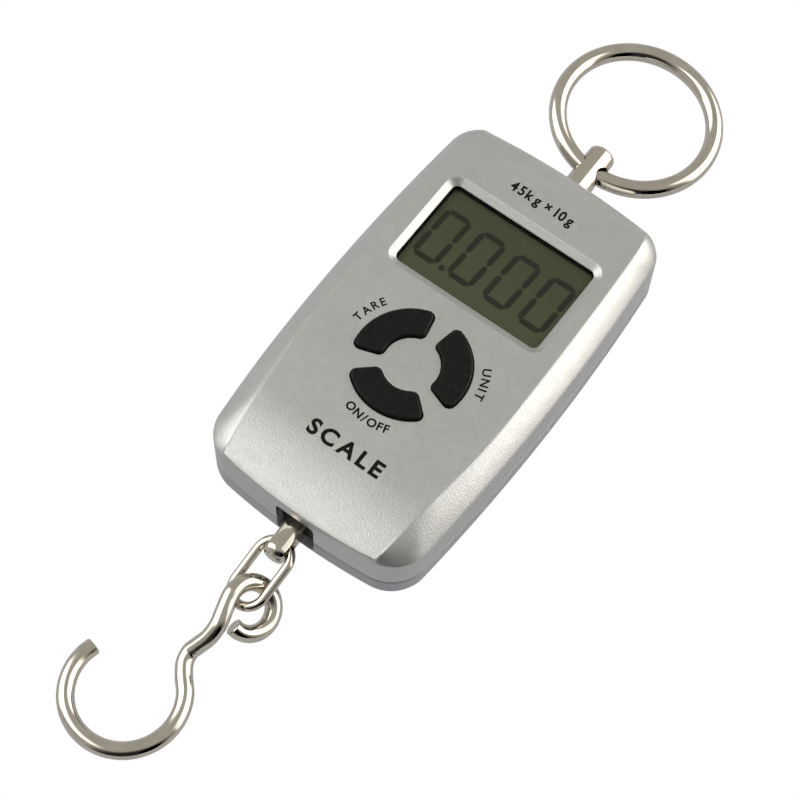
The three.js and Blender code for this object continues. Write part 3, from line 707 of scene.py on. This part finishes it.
def stations():
    """For each outline point: the rim's point, the panel edge's point, and how round the slope is."""
    rim = right_half(0)
    first, last = END_STEPS, len(rim) - 1 - END_STEPS
    crease = spline([(x, y, 0) for x, y in CREASE], 60)
    crease_marks = lengths(crease)
    along = [(*p, 0) for p in rim[first:last + 1]]
    marks = lengths(along)
    result = []
    for i, (x, y) in enumerate(rim):
        if i < first:
            result.append(((x, y, BOTTOM_RIM_Z), (x, y + BOTTOM_EDGE), 1.0))
        elif i > last:
            result.append(((x, y, SIDE_RIM_Z), (x, CREASE_TOP_Y), 1.0))
        else:
            share = marks[i - first] / marks[-1]
            p = at_fraction(crease, crease_marks, share)
            z = mix(BOTTOM_RIM_Z, CORNER_RIM_Z, smoothstep(share, 0, 0.11))
            z = mix(z, SIDE_RIM_Z, smoothstep(share, 0.11, 0.3))
            result.append(((x, y, z), (p.x, p.y), smoothstep(share, 0.9, 1)))
    return result


def slope(u, around):
    """The share of the drop from the panel's edge (0) to the rim (1)."""
    start = CREASE_ROUND
    if u < start:
        flat = 0.6 * u * u / (2 * start) + 0.4 * u ** 3 / (3 * start)
    else:
        flat = 0.6 * u + 0.4 * u * u
        lag = (0.6 * start + 0.4 * start ** 2) - (0.6 * start / 2 + 0.4 * start ** 2 / 3)
        flat -= lag * (1 - (u - start) / (1 - start))
    return mix(flat, 1 - math.sqrt(max(0, 1 - u * u)), around)


def front_block():
    marks = stations()

    def ring(place):
        return mirrored([place(*m) for m in marks])

    def level(u):
        def place(rim, panel, around):
            edge_z = panel_z(panel[1])
            x, y = mix(panel[0], rim[0], u), mix(panel[1], rim[1], u)
            return x, y, edge_z - (edge_z - rim[2]) * slope(u, around)
        return place

    def softened(t):
        """The rounded edge between slope and wall, for t from 0 on the slope to 1 on the wall."""
        def place(rim, panel, around):
            a = Vector(level(EDGE_START)(rim, panel, around))
            b = Vector(rim)
            c = Vector((rim[0], rim[1], rim[2] - EDGE_DROP))
            p = a * (1 - t) ** 2 + b * 2 * t * (1 - t) + c * t * t
            return tuple(p)
        return place

    edge = PARTING_Z + GAP / 2
    inset, rise = PARTING_CHAMFER
    rings = [outline_at(inset, edge), outline_at(0, edge + rise), outline_at(0, 13)]
    rings += [ring(softened(t)) for t in (1, 0.8, 0.6, 0.4, 0.2)]
    levels = [EDGE_START, 0.86, 0.78, 0.68, 0.58, 0.48, 0.38, 0.29, 0.22, 0.16, 0.12, 0.08, 0.04, 0.0]
    rings += [ring(level(u)) for u in levels]
    panel_edge = mirrored([panel for _, panel, _ in marks])
    for k in (0.985, 0.96, 0.93, 0.9, 0.87, 0.84, 0.81, 0.78, 0.75, 0.72, 0.69, 0.66, 0.62):
        rings.append([(x * k, y * k, panel_z(y * k)) for x, y in panel_edge])
    return loft("front_shell_fine", rings)


def sector(inner, outer, middle, half_angle, radius, steps=8):
    a, b = math.radians(middle - half_angle), math.radians(middle + half_angle)
    turn = (radius / (outer - radius), radius / (inner + radius))
    corners = [
        (outer - radius, a + turn[0], a - math.pi / 2),
        (outer - radius, b - turn[0], b),
        (inner + radius, b - turn[1], b + math.pi / 2),
        (inner + radius, a + turn[1], a + math.pi),
    ]
    rounded = [arc(
        r * math.cos(angle), KEY_Y + r * math.sin(angle), radius, start, start + math.pi / 2, steps,
    ) for r, angle, start in corners]
    outside = arc(0, KEY_Y, outer, a + turn[0], b - turn[0], 48)[1:-1]
    inside = arc(0, KEY_Y, inner, b - turn[1], a + turn[1], 32)[1:-1]
    return rounded[0] + outside + rounded[1] + rounded[2] + inside + rounded[3]


def slot_tool(name="slot_tool"):
    outline_points = rounded_rectangle((-SLOT_HALF_WIDTH, SLOT_HALF_WIDTH), SLOT_Z, 1.5)
    rings = [[(x, y, z) for x, z in outline_points] for y in (60, -60)]
    return loft(name, rings)


def window_tool():
    def at(grow, z):
        x = (-WINDOW_X - grow, WINDOW_X + grow)
        y = (WINDOW_Y[0] - grow, WINDOW_Y[1] + grow)
        return [(*p, z) for p in rounded_rectangle(x, y, WINDOW_CORNER + grow)]

    over = 0.5
    outward = WINDOW_CHAMFER / (FACE_Z - WINDOW_EDGE_Z)
    top = at(WINDOW_CHAMFER + over * outward, FACE_Z + over)
    return loft("window_tool", [at(0, 20), at(0, WINDOW_EDGE_Z), top])


def make_front_shell():
    shell = front_block()
    low = PARTING_Z - 1
    inset, top = FRONT_HOLLOW_TOP
    highest = [(x, max(y, FRONT_HOLLOW_LOW_Y)) for x, y in outline(inset)]
    steps = [prism("tool_hollow", outline(i), low, z) for i, z in FRONT_HOLLOW]
    cut(shell, *steps, prism("tool_high", highest, low, top))
    screws = [(x, y, 0) for x, y in CASE_SCREWS]
    posts = [(x, y, 0) for x, y in BOARD_POSTS]
    boolean(shell, [
        rods("tool_bosses", "Z", FRONT_BOSS, screws, 11.3, 18),
        rods("tool_board_posts", "Z", BOARD_POST, posts, BOARD_TOP_Z + GAP, 22),
    ], "UNION")
    cut(
        shell,
        rods("tool_boss_holes", "Z", CASE_SCREW_HOLE, screws, 11, 16.6),
        rods("tool_post_holes", "Z", BOARD_SCREW_HOLE, posts, BOARD_TOP_Z, 21),
    )
    tools = [prism(
        "tool_" + name,
        sector(KEY_INNER - GAP, KEY_OUTER + GAP, middle, KEY_HALF_ANGLE + 1.6, KEY_CORNER + GAP),
        20, 26,
    ) for name, middle in KEYS]
    cut(shell, *tools)
    cut(shell, slot_tool(), boxes("tool_lens", ((-21.9, 21.9), (8.5, 36.7), (20, 22))))
    cut(shell, window_tool())
    return finish_piece(shell, SILVER, "case", ["front_shell"], 30)


def back_block(name):
    rings = []
    for i in range(13):
        angle = math.radians(90 * i / 12)
        inset = BACK_ROUNDING * (1 - math.sin(angle))
        rings.append(outline_at(inset, BACK_ROUNDING * (1 - math.cos(angle))))
    edge = PARTING_Z - GAP / 2
    inset, rise = PARTING_CHAMFER
    rings.append(outline_at(0, edge - rise))
    rings.append(outline_at(inset, edge))
    return loft(name, rings)


def door_recess(name, grow):
    """The room that the door takes up with its rails, grown by its clearance."""
    wide = DOOR_HALF_WIDTH + grow
    wider = wide + DOOR_RAIL
    top = DOOR_THICKNESS + grow
    y = (DOOR_START_Y - grow, 70)
    plate = boxes(name, ((-wide, wide), y, (-1, top)))
    rails = boxes("rails", ((-wider, wider), y, (DOOR_RAIL_Z - grow, top - 0.01)))
    return boolean(plate, [rails], "UNION")


def make_rear_shell():
    shell = back_block("rear_shell_fine")
    cut(shell, prism("tool_hollow", outline(WALL), FLOOR_Z, 20))
    half = (-WELL_HALF_LENGTH, WELL_HALF_LENGTH)
    grown = (half[0] - WELL_WALL, half[1] + WELL_WALL)
    outer_z = (1, WELL_CEILING_Z + WELL_WALL)

    def well(side, grow, y, z):
        middle = side * BATTERY_X
        return (middle - WELL_HALF_WIDTH - grow, middle + WELL_HALF_WIDTH + grow), y, z

    wells = boxes("tool_wells", *(well(s, WELL_WALL, grown, outer_z) for s in (-1, 1)))
    tongue = cut(
        prism("tongue", outline(1.2), PARTING_Z - 1, 11),
        prism("tool_tongue", outline(WALL + 0.02), PARTING_Z - 2, 12),
    )
    case_screws = [(x, y, 0) for x, y in CASE_SCREWS]
    cell_screws = [(0, y, 0) for y in CELL_SCREW_Y]
    posts = rods("tool_posts", "Z", REAR_POST, case_screws, 1, 10.9)
    cell_posts = rods("tool_cell_posts", "Z", CELL_POST, cell_screws, 1, 6.4)
    boolean(shell, [wells, tongue, posts, cell_posts], "UNION")
    hollows = boxes("tool_hollows", *(well(s, 0, half, (-1, WELL_CEILING_Z)) for s in (-1, 1)))
    slots = boxes("tool_slots", *(
        ((x - 1.8, x + 1.8), (end * 26.4 - 0.6, end * 26.4 + 0.6), (11, 15))
        for x in (-BATTERY_X, BATTERY_X) for end in (-1, 1)
    ))
    cut(
        shell,
        hollows,
        slots,
        door_recess("tool_recess", GAP),
        rods("tool_sinks", "Z", CASE_SCREW_SINK, case_screws, -1, 4.1),
        rods("tool_holes", "Z", CASE_SCREW_HOLE, case_screws, 3, 12),
        rods("tool_cell_sinks", "Z", CELL_SCREW_SINK, cell_screws, -1, 2.4),
        rods("tool_cell_holes", "Z", CELL_SCREW_HOLE, cell_screws, 2, 8),
        slot_tool(),
    )
    return finish_piece(shell, GREY, "case", ["rear_shell"], 30)


def make_door():
    door = back_block("battery_door_fine")
    boolean(door, [door_recess("tool_door", 0)], "INTERSECT")
    starts = [GRIP_Y + GRIP_STEP * i for i in range(5)]
    grips = boxes("tool_grips", *(((-7, 7), (y, y + GRIP_WIDTH), (-1, 0.45)) for y in starts))
    cut(door, grips)
    return finish_piece(door, GREY, "battery_door", ["battery_door"], 30)


make_front_shell()
make_rear_shell()
make_door()


# ---- Display ----

def make_window():
    points = rounded_rectangle((-LENS_X, LENS_X), LENS_Y, 1.5)
    sheet = prism("display_window_fine", points, *LENS_Z)
    finish_piece(sheet, CLEAR, "case", ["display_window"])


def digit(x, grow):
    """The six lit segments of a seven-segment zero, leaning a little, with mitred ends."""
    gap = DIGIT_GAP - grow
    h = DIGIT_STROKE / 2
    left, right = x + h, x + DIGIT_WIDTH - h
    low, middle, high = DIGIT_Y + h, DIGIT_Y + DIGIT_HEIGHT / 2, DIGIT_Y + DIGIT_HEIGHT - h
    wide = h + grow

    def across(level):
        a, b = left + gap, right - gap
        return [
            (a, level), (a + wide, level - wide), (b - wide, level - wide),
            (b, level), (b - wide, level + wide), (a + wide, level + wide),
        ]

    def upright(at, a, b):
        a, b = a + gap, b - gap
        return [
            (at, a), (at + wide, a + wide), (at + wide, b - wide),
            (at, b), (at - wide, b - wide), (at - wide, a + wide),
        ]

    segments = [
        across(low), across(high),
        upright(left, low, middle), upright(left, middle, high),
        upright(right, low, middle), upright(right, middle, high),
    ]
    return [[(px + (py - DIGIT_Y) * DIGIT_LEAN, py) for px, py in shape] for shape in segments]


def flat_shapes(name, outlines, low, high):
    """Thin solids over convex outlines, in one mesh."""
    points, faces = [], []
    for shape in outlines:
        n, count = len(points), len(shape)
        points += [(x, y, low) for x, y in shape] + [(x, y, high) for x, y in shape]
        faces.append(tuple(range(n + count - 1, n - 1, -1)))
        faces.append(tuple(range(n + count, n + 2 * count)))
        for i in range(count):
            j = (i + 1) % count
            faces.append((n + i, n + j, n + count + j, n + count + i))
    return new_object(name, points, faces)


def make_display():
    glass = boxes("display_glass_fine", ((-DISPLAY_X, DISPLAY_X), DISPLAY_Y, DISPLAY_Z))
    finish_piece(glass, DISPLAY, "case", ["display_glass"])
    # The second set of segments, slightly grown and just under the first, is a painted shadow round the
    # digits.
    for name, grow, material, z in (
        ("display_digits", 0.0, SEGMENT, (20.61, 20.64)),
        ("display_digit_painted_shadows", 0.13, SEGMENT_PAINTED_SHADOW, (20.58, 20.61)),
    ):
        segments = []
        for x in DIGIT_LEFTS:
            segments += digit(x, grow)
        x, y, radius = POINT
        segments.append(arc(x, y, radius + grow, 0, 2 * math.pi, 16)[:-1])
        finish_piece(flat_shapes(name, segments, *z), material, "case")


def make_painted_shade_frame():
    """A black frame under the window's edge: painted shade for the dark gap round the display."""
    def at(inset, z, radius):
        x = (-WINDOW_X + inset, WINDOW_X - inset)
        y = (WINDOW_Y[0] + inset, WINDOW_Y[1] - inset)
        return prism("painted_shade_frame", rounded_rectangle(x, y, radius), *z)

    # The frame's black ink is painted shade for the gap between display and case.
    painted_shade_frame = cut(at(-0.6, PAINTED_SHADE_FRAME_Z, 2.0), at(0.35, (20.5, 21.2), 1.4))
    painted_shade_frame.name = "display_painted_shade_frame"
    finish_piece(painted_shade_frame, LEGEND, "case")


make_window()
make_display()
make_painted_shade_frame()


# ---- Keys ----

def make_key(name, middle):
    """A sector cap with a rounded edge and a flange under the face."""
    side = sector(KEY_INNER, KEY_OUTER, middle, KEY_HALF_ANGLE, KEY_CORNER)
    rings = [[(x, y, z) for x, y in side] for z in (19.4, KEY_TOP_Z - KEY_EDGE)]
    for i in range(1, 8):
        angle = math.pi / 2 * i / 7
        inset = KEY_EDGE * (1 - math.cos(angle))
        points = sector(
            KEY_INNER + inset, KEY_OUTER - inset, middle, KEY_HALF_ANGLE - math.degrees(inset / 10.5),
            KEY_CORNER - inset,
        )
        rings.append([(x, y, KEY_TOP_Z - KEY_EDGE * (1 - math.sin(angle))) for x, y in points])
    cap = loft(name + "_fine", rings)
    wide = sector(
        KEY_INNER - KEY_FLANGE, KEY_OUTER + KEY_FLANGE, middle, KEY_HALF_ANGLE + 4, KEY_CORNER,
    )
    boolean(cap, [prism(name + "_flange", wide, *KEY_FLANGE_Z)], "UNION")
    finish_piece(cap, KEY_BLACK, name, [name], 40)


for key_name, key_middle in KEYS:
    make_key(key_name, key_middle)


# ---- Legends ----

def letter(character, weight):
    """A letter one unit high as a thin solid with its left edge at 0: points, faces and width."""
    data = bpy.data.curves.new("letter", "FONT")
    data.body = character
    data.size = 1 / 0.729
    data.extrude = 0.01
    data.offset = weight
    text = bpy.data.objects.new("letter", data)
    bpy.context.scene.collection.objects.link(text)
    bpy.context.view_layer.update()
    mesh = bpy.data.meshes.new_from_object(text.evaluated_get(bpy.context.evaluated_depsgraph_get()))
    points = [tuple(v.co) for v in mesh.vertices]
    faces = [tuple(p.vertices) for p in mesh.polygons]
    bpy.data.objects.remove(text)
    left = min(p[0] for p in points)
    right = max(p[0] for p in points)
    return [(x - left, y, z) for x, y, z in points], faces, right - left


def legend(name, text, cap, width, centre=None, radius=0.0, degrees=0.0, inward=False, weight=0.03):
    """Lettering printed on the face, on a straight line or on an arc about the key circle's centre."""
    gap = 0.22
    letters, cursor = [], 0.0
    for character in text:
        if character == " ":
            cursor += 0.3
            continue
        points, faces, wide = letter(character, weight)
        letters.append((cursor, points, faces, wide))
        cursor += wide + gap
    total = cursor - gap
    stretch = width / total
    all_points, all_faces = [], []
    for start, points, faces, wide in letters:
        middle = (start + wide / 2 - total / 2) * stretch
        if radius:
            turn = -1 if not inward else 1
            angle = math.radians(degrees) + turn * middle / radius
            up = Vector((math.cos(angle), math.sin(angle))) * (-1 if inward else 1)
            along = Vector((up.y, -up.x))
            base = Vector((radius * math.cos(angle), KEY_Y + radius * math.sin(angle)))
        else:
            up, along = Vector((0, 1)), Vector((1, 0))
            base = Vector(centre) + along * middle
        n = len(all_points)
        for x, y, z in points:
            p = base + along * (x - wide / 2) * stretch + up * y * cap
            all_points.append((p.x, p.y, panel_z(p.y) + (PRINT if z > 0 else -PRINT)))
        all_faces += [tuple(n + i for i in face) for face in faces]
    printed = new_object(name, all_points, all_faces)
    bend_with_panel(printed)
    dress(printed, LEGEND)
    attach(printed, "case")


def bend_with_panel(printed):
    """Cuts the lettering across every half millimetre and lays it on the panel's curve."""
    mesh = bmesh.new()
    mesh.from_mesh(printed.data)
    bmesh.ops.remove_doubles(mesh, verts=mesh.verts, dist=1e-7)
    lift = {v: v.co.z - panel_z(v.co.y / MM) * MM for v in mesh.verts}
    low = min(v.co.y for v in mesh.verts)
    if low < DROP_START_Y * MM:
        level = DROP_START_Y - 0.25
        top = {v for v, z in lift.items() if z > 0}
        while level * MM > low:
            everything = mesh.verts[:] + mesh.edges[:] + mesh.faces[:]
            bmesh.ops.bisect_plane(mesh, geom=everything, plane_co=(0, level * MM, 0), plane_no=(0, 1, 0))
            level -= 0.5
        for v in mesh.verts:
            y = v.co.y / MM
            if v in top:
                v.co.z = (panel_z(y) + PRINT) * MM
            elif v not in lift:
                above = v.co.z > (panel_z(y) - PRINT) * MM - 1e-9 and any(
                    face.normal.z > 0.5 for face in v.link_faces)
                v.co.z = (panel_z(y) + (PRINT if above else -PRINT)) * MM
    mesh.to_mesh(printed.data)
    mesh.free()


legend("legend_capacity", "45kg × 10g", 2.7, 17.5, centre=(-0.4, 41.0), weight=0.04)
legend("legend_tare", "TARE", 2.1, 8.0, radius=16.2, degrees=160.5)
legend("legend_unit", "UNIT", 2.1, 7.8, radius=16.2, degrees=19.5)
legend("legend_power", "ON/OFF", 2.1, 12.2, radius=18.1, degrees=270, inward=True, weight=0.04)
legend("legend_name", "SCALE", 3.9, 20.0, centre=(0.6, -37.4), weight=0.045)


# ---- Ring, studs, link and hook ----

def turn_of(*steps):
    result = Matrix.Identity(3)
    for axis, degrees in steps:
        result = result @ Matrix.Rotation(math.radians(degrees), 3, axis)
    return result


def make_ring():
    turn = turn_of(("Z", -1.9), ("X", -2), ("Y", 5))
    path = []
    for i in range(288):
        a = 2 * math.pi * i / 288
        p = Vector((RING_RADIUS * math.sin(a), RING_RADIUS * (1 - math.cos(a)), 0))
        path.append(turn @ p + Vector((0, RING_Y, STUD_Z)))
    ring = tube("hanging_ring_fine", path, RING_WIRE, closed=True, sides=56)
    finish_piece(ring, NICKEL, "ring", ["hanging_ring"], 60)


def make_top_stud():
    thread = 2.6
    profile = [(0, STUD_END_Y), (thread, STUD_END_Y), (thread, STUD_STEP_Y), (TOP_STUD, STUD_STEP_Y)]
    tip = arc(TOP_STUD - TOP_TIP_ROUND, TOP_TIP_Y - TOP_TIP_ROUND, TOP_TIP_ROUND, 0, math.pi / 2, 8)
    profile += [*tip, (0, TOP_TIP_Y)]
    stud = turned("top_stud_fine", profile, "Y", (0, 0, STUD_Z), 96)
    cut(stud, rods("tool_ring_hole", "X", RING_HOLE, [(0, RING_Y, STUD_Z)], -6, 6, 72))
    finish_piece(stud, NICKEL, "case", ["top_stud"])


def make_bottom_stud():
    r, tip, w = BOTTOM_STUD, -BOTTOM_TIP_Y, BOTTOM_STUD_FLAT
    thread = 2.3
    profile = [(0, tip)]
    for i in range(1, 11):
        a = math.pi / 2 * i / 10
        profile.append((r - 1.9 + 1.9 * math.sin(a), tip + 2.2 * (1 - math.cos(a))))
    profile += [(r, -STUD_STEP_Y), (thread, -STUD_STEP_Y), (thread, -STUD_END_Y), (0, -STUD_END_Y)]
    stud = turned("bottom_stud_fine", profile, "Y", (0, 0, STUD_Z), 96)
    flats = boxes("tool_flats", ((w, w + 3), (-64, -47), (5, 15)), ((-w - 3, -w), (-64, -47), (5, 15)))
    flare = LINK_HOLE + 1
    hole = turned("tool_link_hole", [
        (0, -w - 1), (flare, -w - 1), (LINK_HOLE, -w + 1), (LINK_HOLE, w - 1), (flare, w + 1), (0, w + 1),
    ], "X", (0, LINK_HINGE_Y, STUD_Z), 56)
    cut(stud, flats, hole)
    finish_piece(stud, NICKEL, "case", ["bottom_stud"])


def oval(steps_straight=20, steps_bend=48):
    r = LINK_HALF_WIDTH
    straight = LINK_LENGTH - 2 * r
    upper = arc(0, -r, r, 0, math.pi, steps_bend)
    lower = arc(0, -r - straight, r, math.pi, 2 * math.pi, steps_bend)
    left = [(-r, -r - straight * i / steps_straight) for i in range(1, steps_straight)]
    right = [(r, -r - straight + straight * i / steps_straight) for i in range(1, steps_straight)]
    return upper + left + lower + right


def make_link():
    turn = turn_of(("Z", -1), ("X", 14), ("Y", -13))
    path = [turn @ Vector((x, y, 0)) + Vector((0, LINK_TOP_Y, STUD_Z)) for x, y in oval()]
    link = tube("chain_link_fine", path, LINK_WIRE, closed=True, sides=36)
    finish_piece(link, NICKEL, "link", ["chain_link"], 60)


def hook_points():
    """The wire's middle line: the eye, the cranked shank and the round hook."""
    tilt = math.radians(EYE_TILT)
    points = []
    for degrees in range(-94, 201, 14):
        a = math.radians(degrees)
        u = EYE_RADIUS * math.cos(a)
        y = EYE[1] + EYE_RADIUS * math.sin(a)
        points.append((EYE[0] + u * math.cos(tilt), y, EYE[2] - u * math.sin(tilt)))
    points += [
        (-0.9, -78.6, 8.5), (-0.3, -81.3, 7.6), (-0.55, -84.2, 6), (-1.7, -86.7, 4.2),
        (-2.6, -88.7, 2.8), (-2.2, -91.1, 2.2), (-0.5, -93.6, 2.15),
    ]
    x, y, z = HOOK_CENTRE
    for degrees in range(35, -202, -13):
        a = math.radians(degrees)
        points.append((x + HOOK_RADIUS * math.cos(a), y + HOOK_RADIUS * math.sin(a), z))
    return points


def make_hook():
    hook = tube("hook_fine", spline(hook_points(), 10), HOOK_WIRE, sides=56, chamfer=0.25)
    finish_piece(hook, NICKEL, "hook", ["hook"], 40)


make_ring()
make_top_stud()
make_bottom_stud()
make_link()
make_hook()


# ---- Pieces shown as their CAD nodes ----

CAD_LOOKS = {
    "display_backing": WHITE, "zebra_connector": KEY_BLACK, "contact_mat": KEY_BLACK,
    "circuit_board": BOARD, "chip_blob": RESIN, "load_cell": ALUMINIUM,
    "strain_gauge_1": FOIL, "strain_gauge_2": FOIL, "top_nut": STEEL, "bottom_nut": STEEL,
    "battery_lead_red": RED, "battery_lead_black": BLACK, "battery_lead_link": BLACK,
    "gauge_wire_1": RED, "gauge_wire_2": BLACK, "gauge_wire_3": RED, "gauge_wire_4": BLACK,
}
for stem, look in (
    ("board_screw", STEEL), ("case_screw", STEEL), ("cell_screw", STEEL),
    ("button_plate", SPRING_STEEL), ("spring_plate", SPRING_STEEL),
    ("battery_spring", SPRING_STEEL), ("battery", JACKET),
):
    for node_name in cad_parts:
        if node_name.startswith(stem + "_") and node_name[len(stem) + 1:].isdigit():
            CAD_LOOKS[node_name] = look
for node_name, look in CAD_LOOKS.items():
    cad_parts[node_name].material_slots[0].material = look


# ---- Stage ----

def make_floor():
    floor = boxes("floor", ((-4000, 4000), (-4000, 4000), (-72, -70)))
    paint = Paint("floor_paper")
    paint.colour(paint.ramp(paint.noise(0.01, 2), (0.3, (0.56, 0.565, 0.61)), (0.7, (0.59, 0.595, 0.64))))
    paint.set(Roughness=0.9, Specular_IOR_Level=0.1)
    tree = paint.tree
    glow = paint.node("ShaderNodeEmission")
    glow.inputs["Color"].default_value = (1.0, 1.0, 1.0, 1)
    path = paint.node("ShaderNodeLightPath")
    choose = paint.node("ShaderNodeMixShader")
    paint.link(path.outputs["Is Camera Ray"], choose.inputs["Fac"])
    paint.link(paint.shader.outputs["BSDF"], choose.inputs[1])
    paint.link(glow.outputs["Emission"], choose.inputs[2])
    paint.link(choose.outputs["Shader"], tree.nodes["Material Output"].inputs["Surface"])
    dress(floor, paint.material)


class Sky:
    """The nodes of a studio tent painted on the sky."""

    def __init__(self, tree):
        tree.nodes.clear()
        self.nodes = tree.nodes
        self.link = tree.links.new
        self.where = self.nodes.new("ShaderNodeTexCoord").outputs["Generated"]

    def vector(self, operation):
        made = self.nodes.new("ShaderNodeVectorMath")
        made.operation = operation
        return made

    def fade(self, direction, low, high):
        """From 0 to 1 as the cosine of the angle to a direction goes from low to high."""
        dot = self.vector("DOT_PRODUCT")
        self.link(self.where, dot.inputs[0])
        dot.inputs[1].default_value = Vector(direction).normalized()
        made = self.nodes.new("ShaderNodeMapRange")
        made.interpolation_type = "SMOOTHSTEP"
        made.inputs["From Min"].default_value = low
        made.inputs["From Max"].default_value = high
        self.link(dot.outputs["Value"], made.inputs["Value"])
        return made.outputs["Result"]

    def times(self, a, b):
        made = self.nodes.new("ShaderNodeMath")
        made.operation = "MULTIPLY"
        self.link(a, made.inputs[0])
        if isinstance(b, float):
            made.inputs[1].default_value = b
        else:
            self.link(b, made.inputs[1])
        return made.outputs["Value"]

    def lobe(self, direction, inner, outer, colour, strength, *edges):
        """A soft-edged round panel, full inside the inner angle and trimmed by straight edges."""
        value = self.fade(direction, math.cos(math.radians(outer)), math.cos(math.radians(inner)))
        for edge in edges:
            value = self.times(value, self.fade(*edge))
        tint = self.vector("SCALE")
        tint.inputs[0].default_value = colour
        self.link(self.times(value, float(strength)), tint.inputs["Scale"])
        return tint.outputs["Vector"]

    def plus(self, a, b):
        made = self.vector("ADD")
        self.link(a, made.inputs[0])
        self.link(b, made.inputs[1])
        return made.outputs["Vector"]

    def show(self, total):
        """Lights the scene with the panels. The camera sees plain white instead."""
        light = self.nodes.new("ShaderNodeBackground")
        self.link(total, light.inputs["Color"])
        seen = self.nodes.new("ShaderNodeBackground")
        seen.inputs["Color"].default_value = (1.0, 1.0, 1.0, 1)
        seen.inputs["Strength"].default_value = 1.0
        path = self.nodes.new("ShaderNodeLightPath")
        choose = self.nodes.new("ShaderNodeMixShader")
        self.link(path.outputs["Is Camera Ray"], choose.inputs["Fac"])
        self.link(light.outputs["Background"], choose.inputs[1])
        self.link(seen.outputs["Background"], choose.inputs[2])
        output = self.nodes.new("ShaderNodeOutputWorld")
        self.link(choose.outputs["Shader"], output.inputs["Surface"])


NEAR_EDGE = ((0, 1, 0), 0.1, 0.32)
PANELS = [
    (
        (-0.62, -0.30, 0.72), 34, 42, (1.0, 1.0, 0.99), 1.95,
        ((-0.9, -0.43, 0), 0.2, 0.36), ((0, -1, 0), -0.2, -0.05), ((0, 1, 0), -0.6, -0.45),
    ),
    ((0.68, 0.62, 0.40), 34, 40, (1.0, 0.99, 0.97), 1.7, NEAR_EDGE, ((0, 0, 1), 0.05, 0.35)),
    ((0.76, 0.64, 0.05), 24, 38, (1.0, 0.95, 0.86), 1.4, NEAR_EDGE),
    ((0.60, -0.76, 0.25), 24, 54, (1.0, 1.0, 0.93), -0.45),
    ((0.95, -0.15, 0.25), 8, 32, (1.0, 1.0, 1.0), -0.15),
]


def make_light():
    """An even glow, a bright panel up on the left, two on the right and a dark gap in front."""
    world = bpy.data.worlds.new("studio")
    bpy.context.scene.world = world
    world.use_nodes = True
    sky = Sky(world.node_tree)
    total = sky.lobe((0, 0, 1), 179, 180, (1.0, 0.99, 0.935), 0.48)
    for panel in PANELS:
        total = sky.plus(total, sky.lobe(*panel))
    sky.show(total)


make_floor()
make_light()
bpy.context.scene.view_settings.view_transform = "Standard"
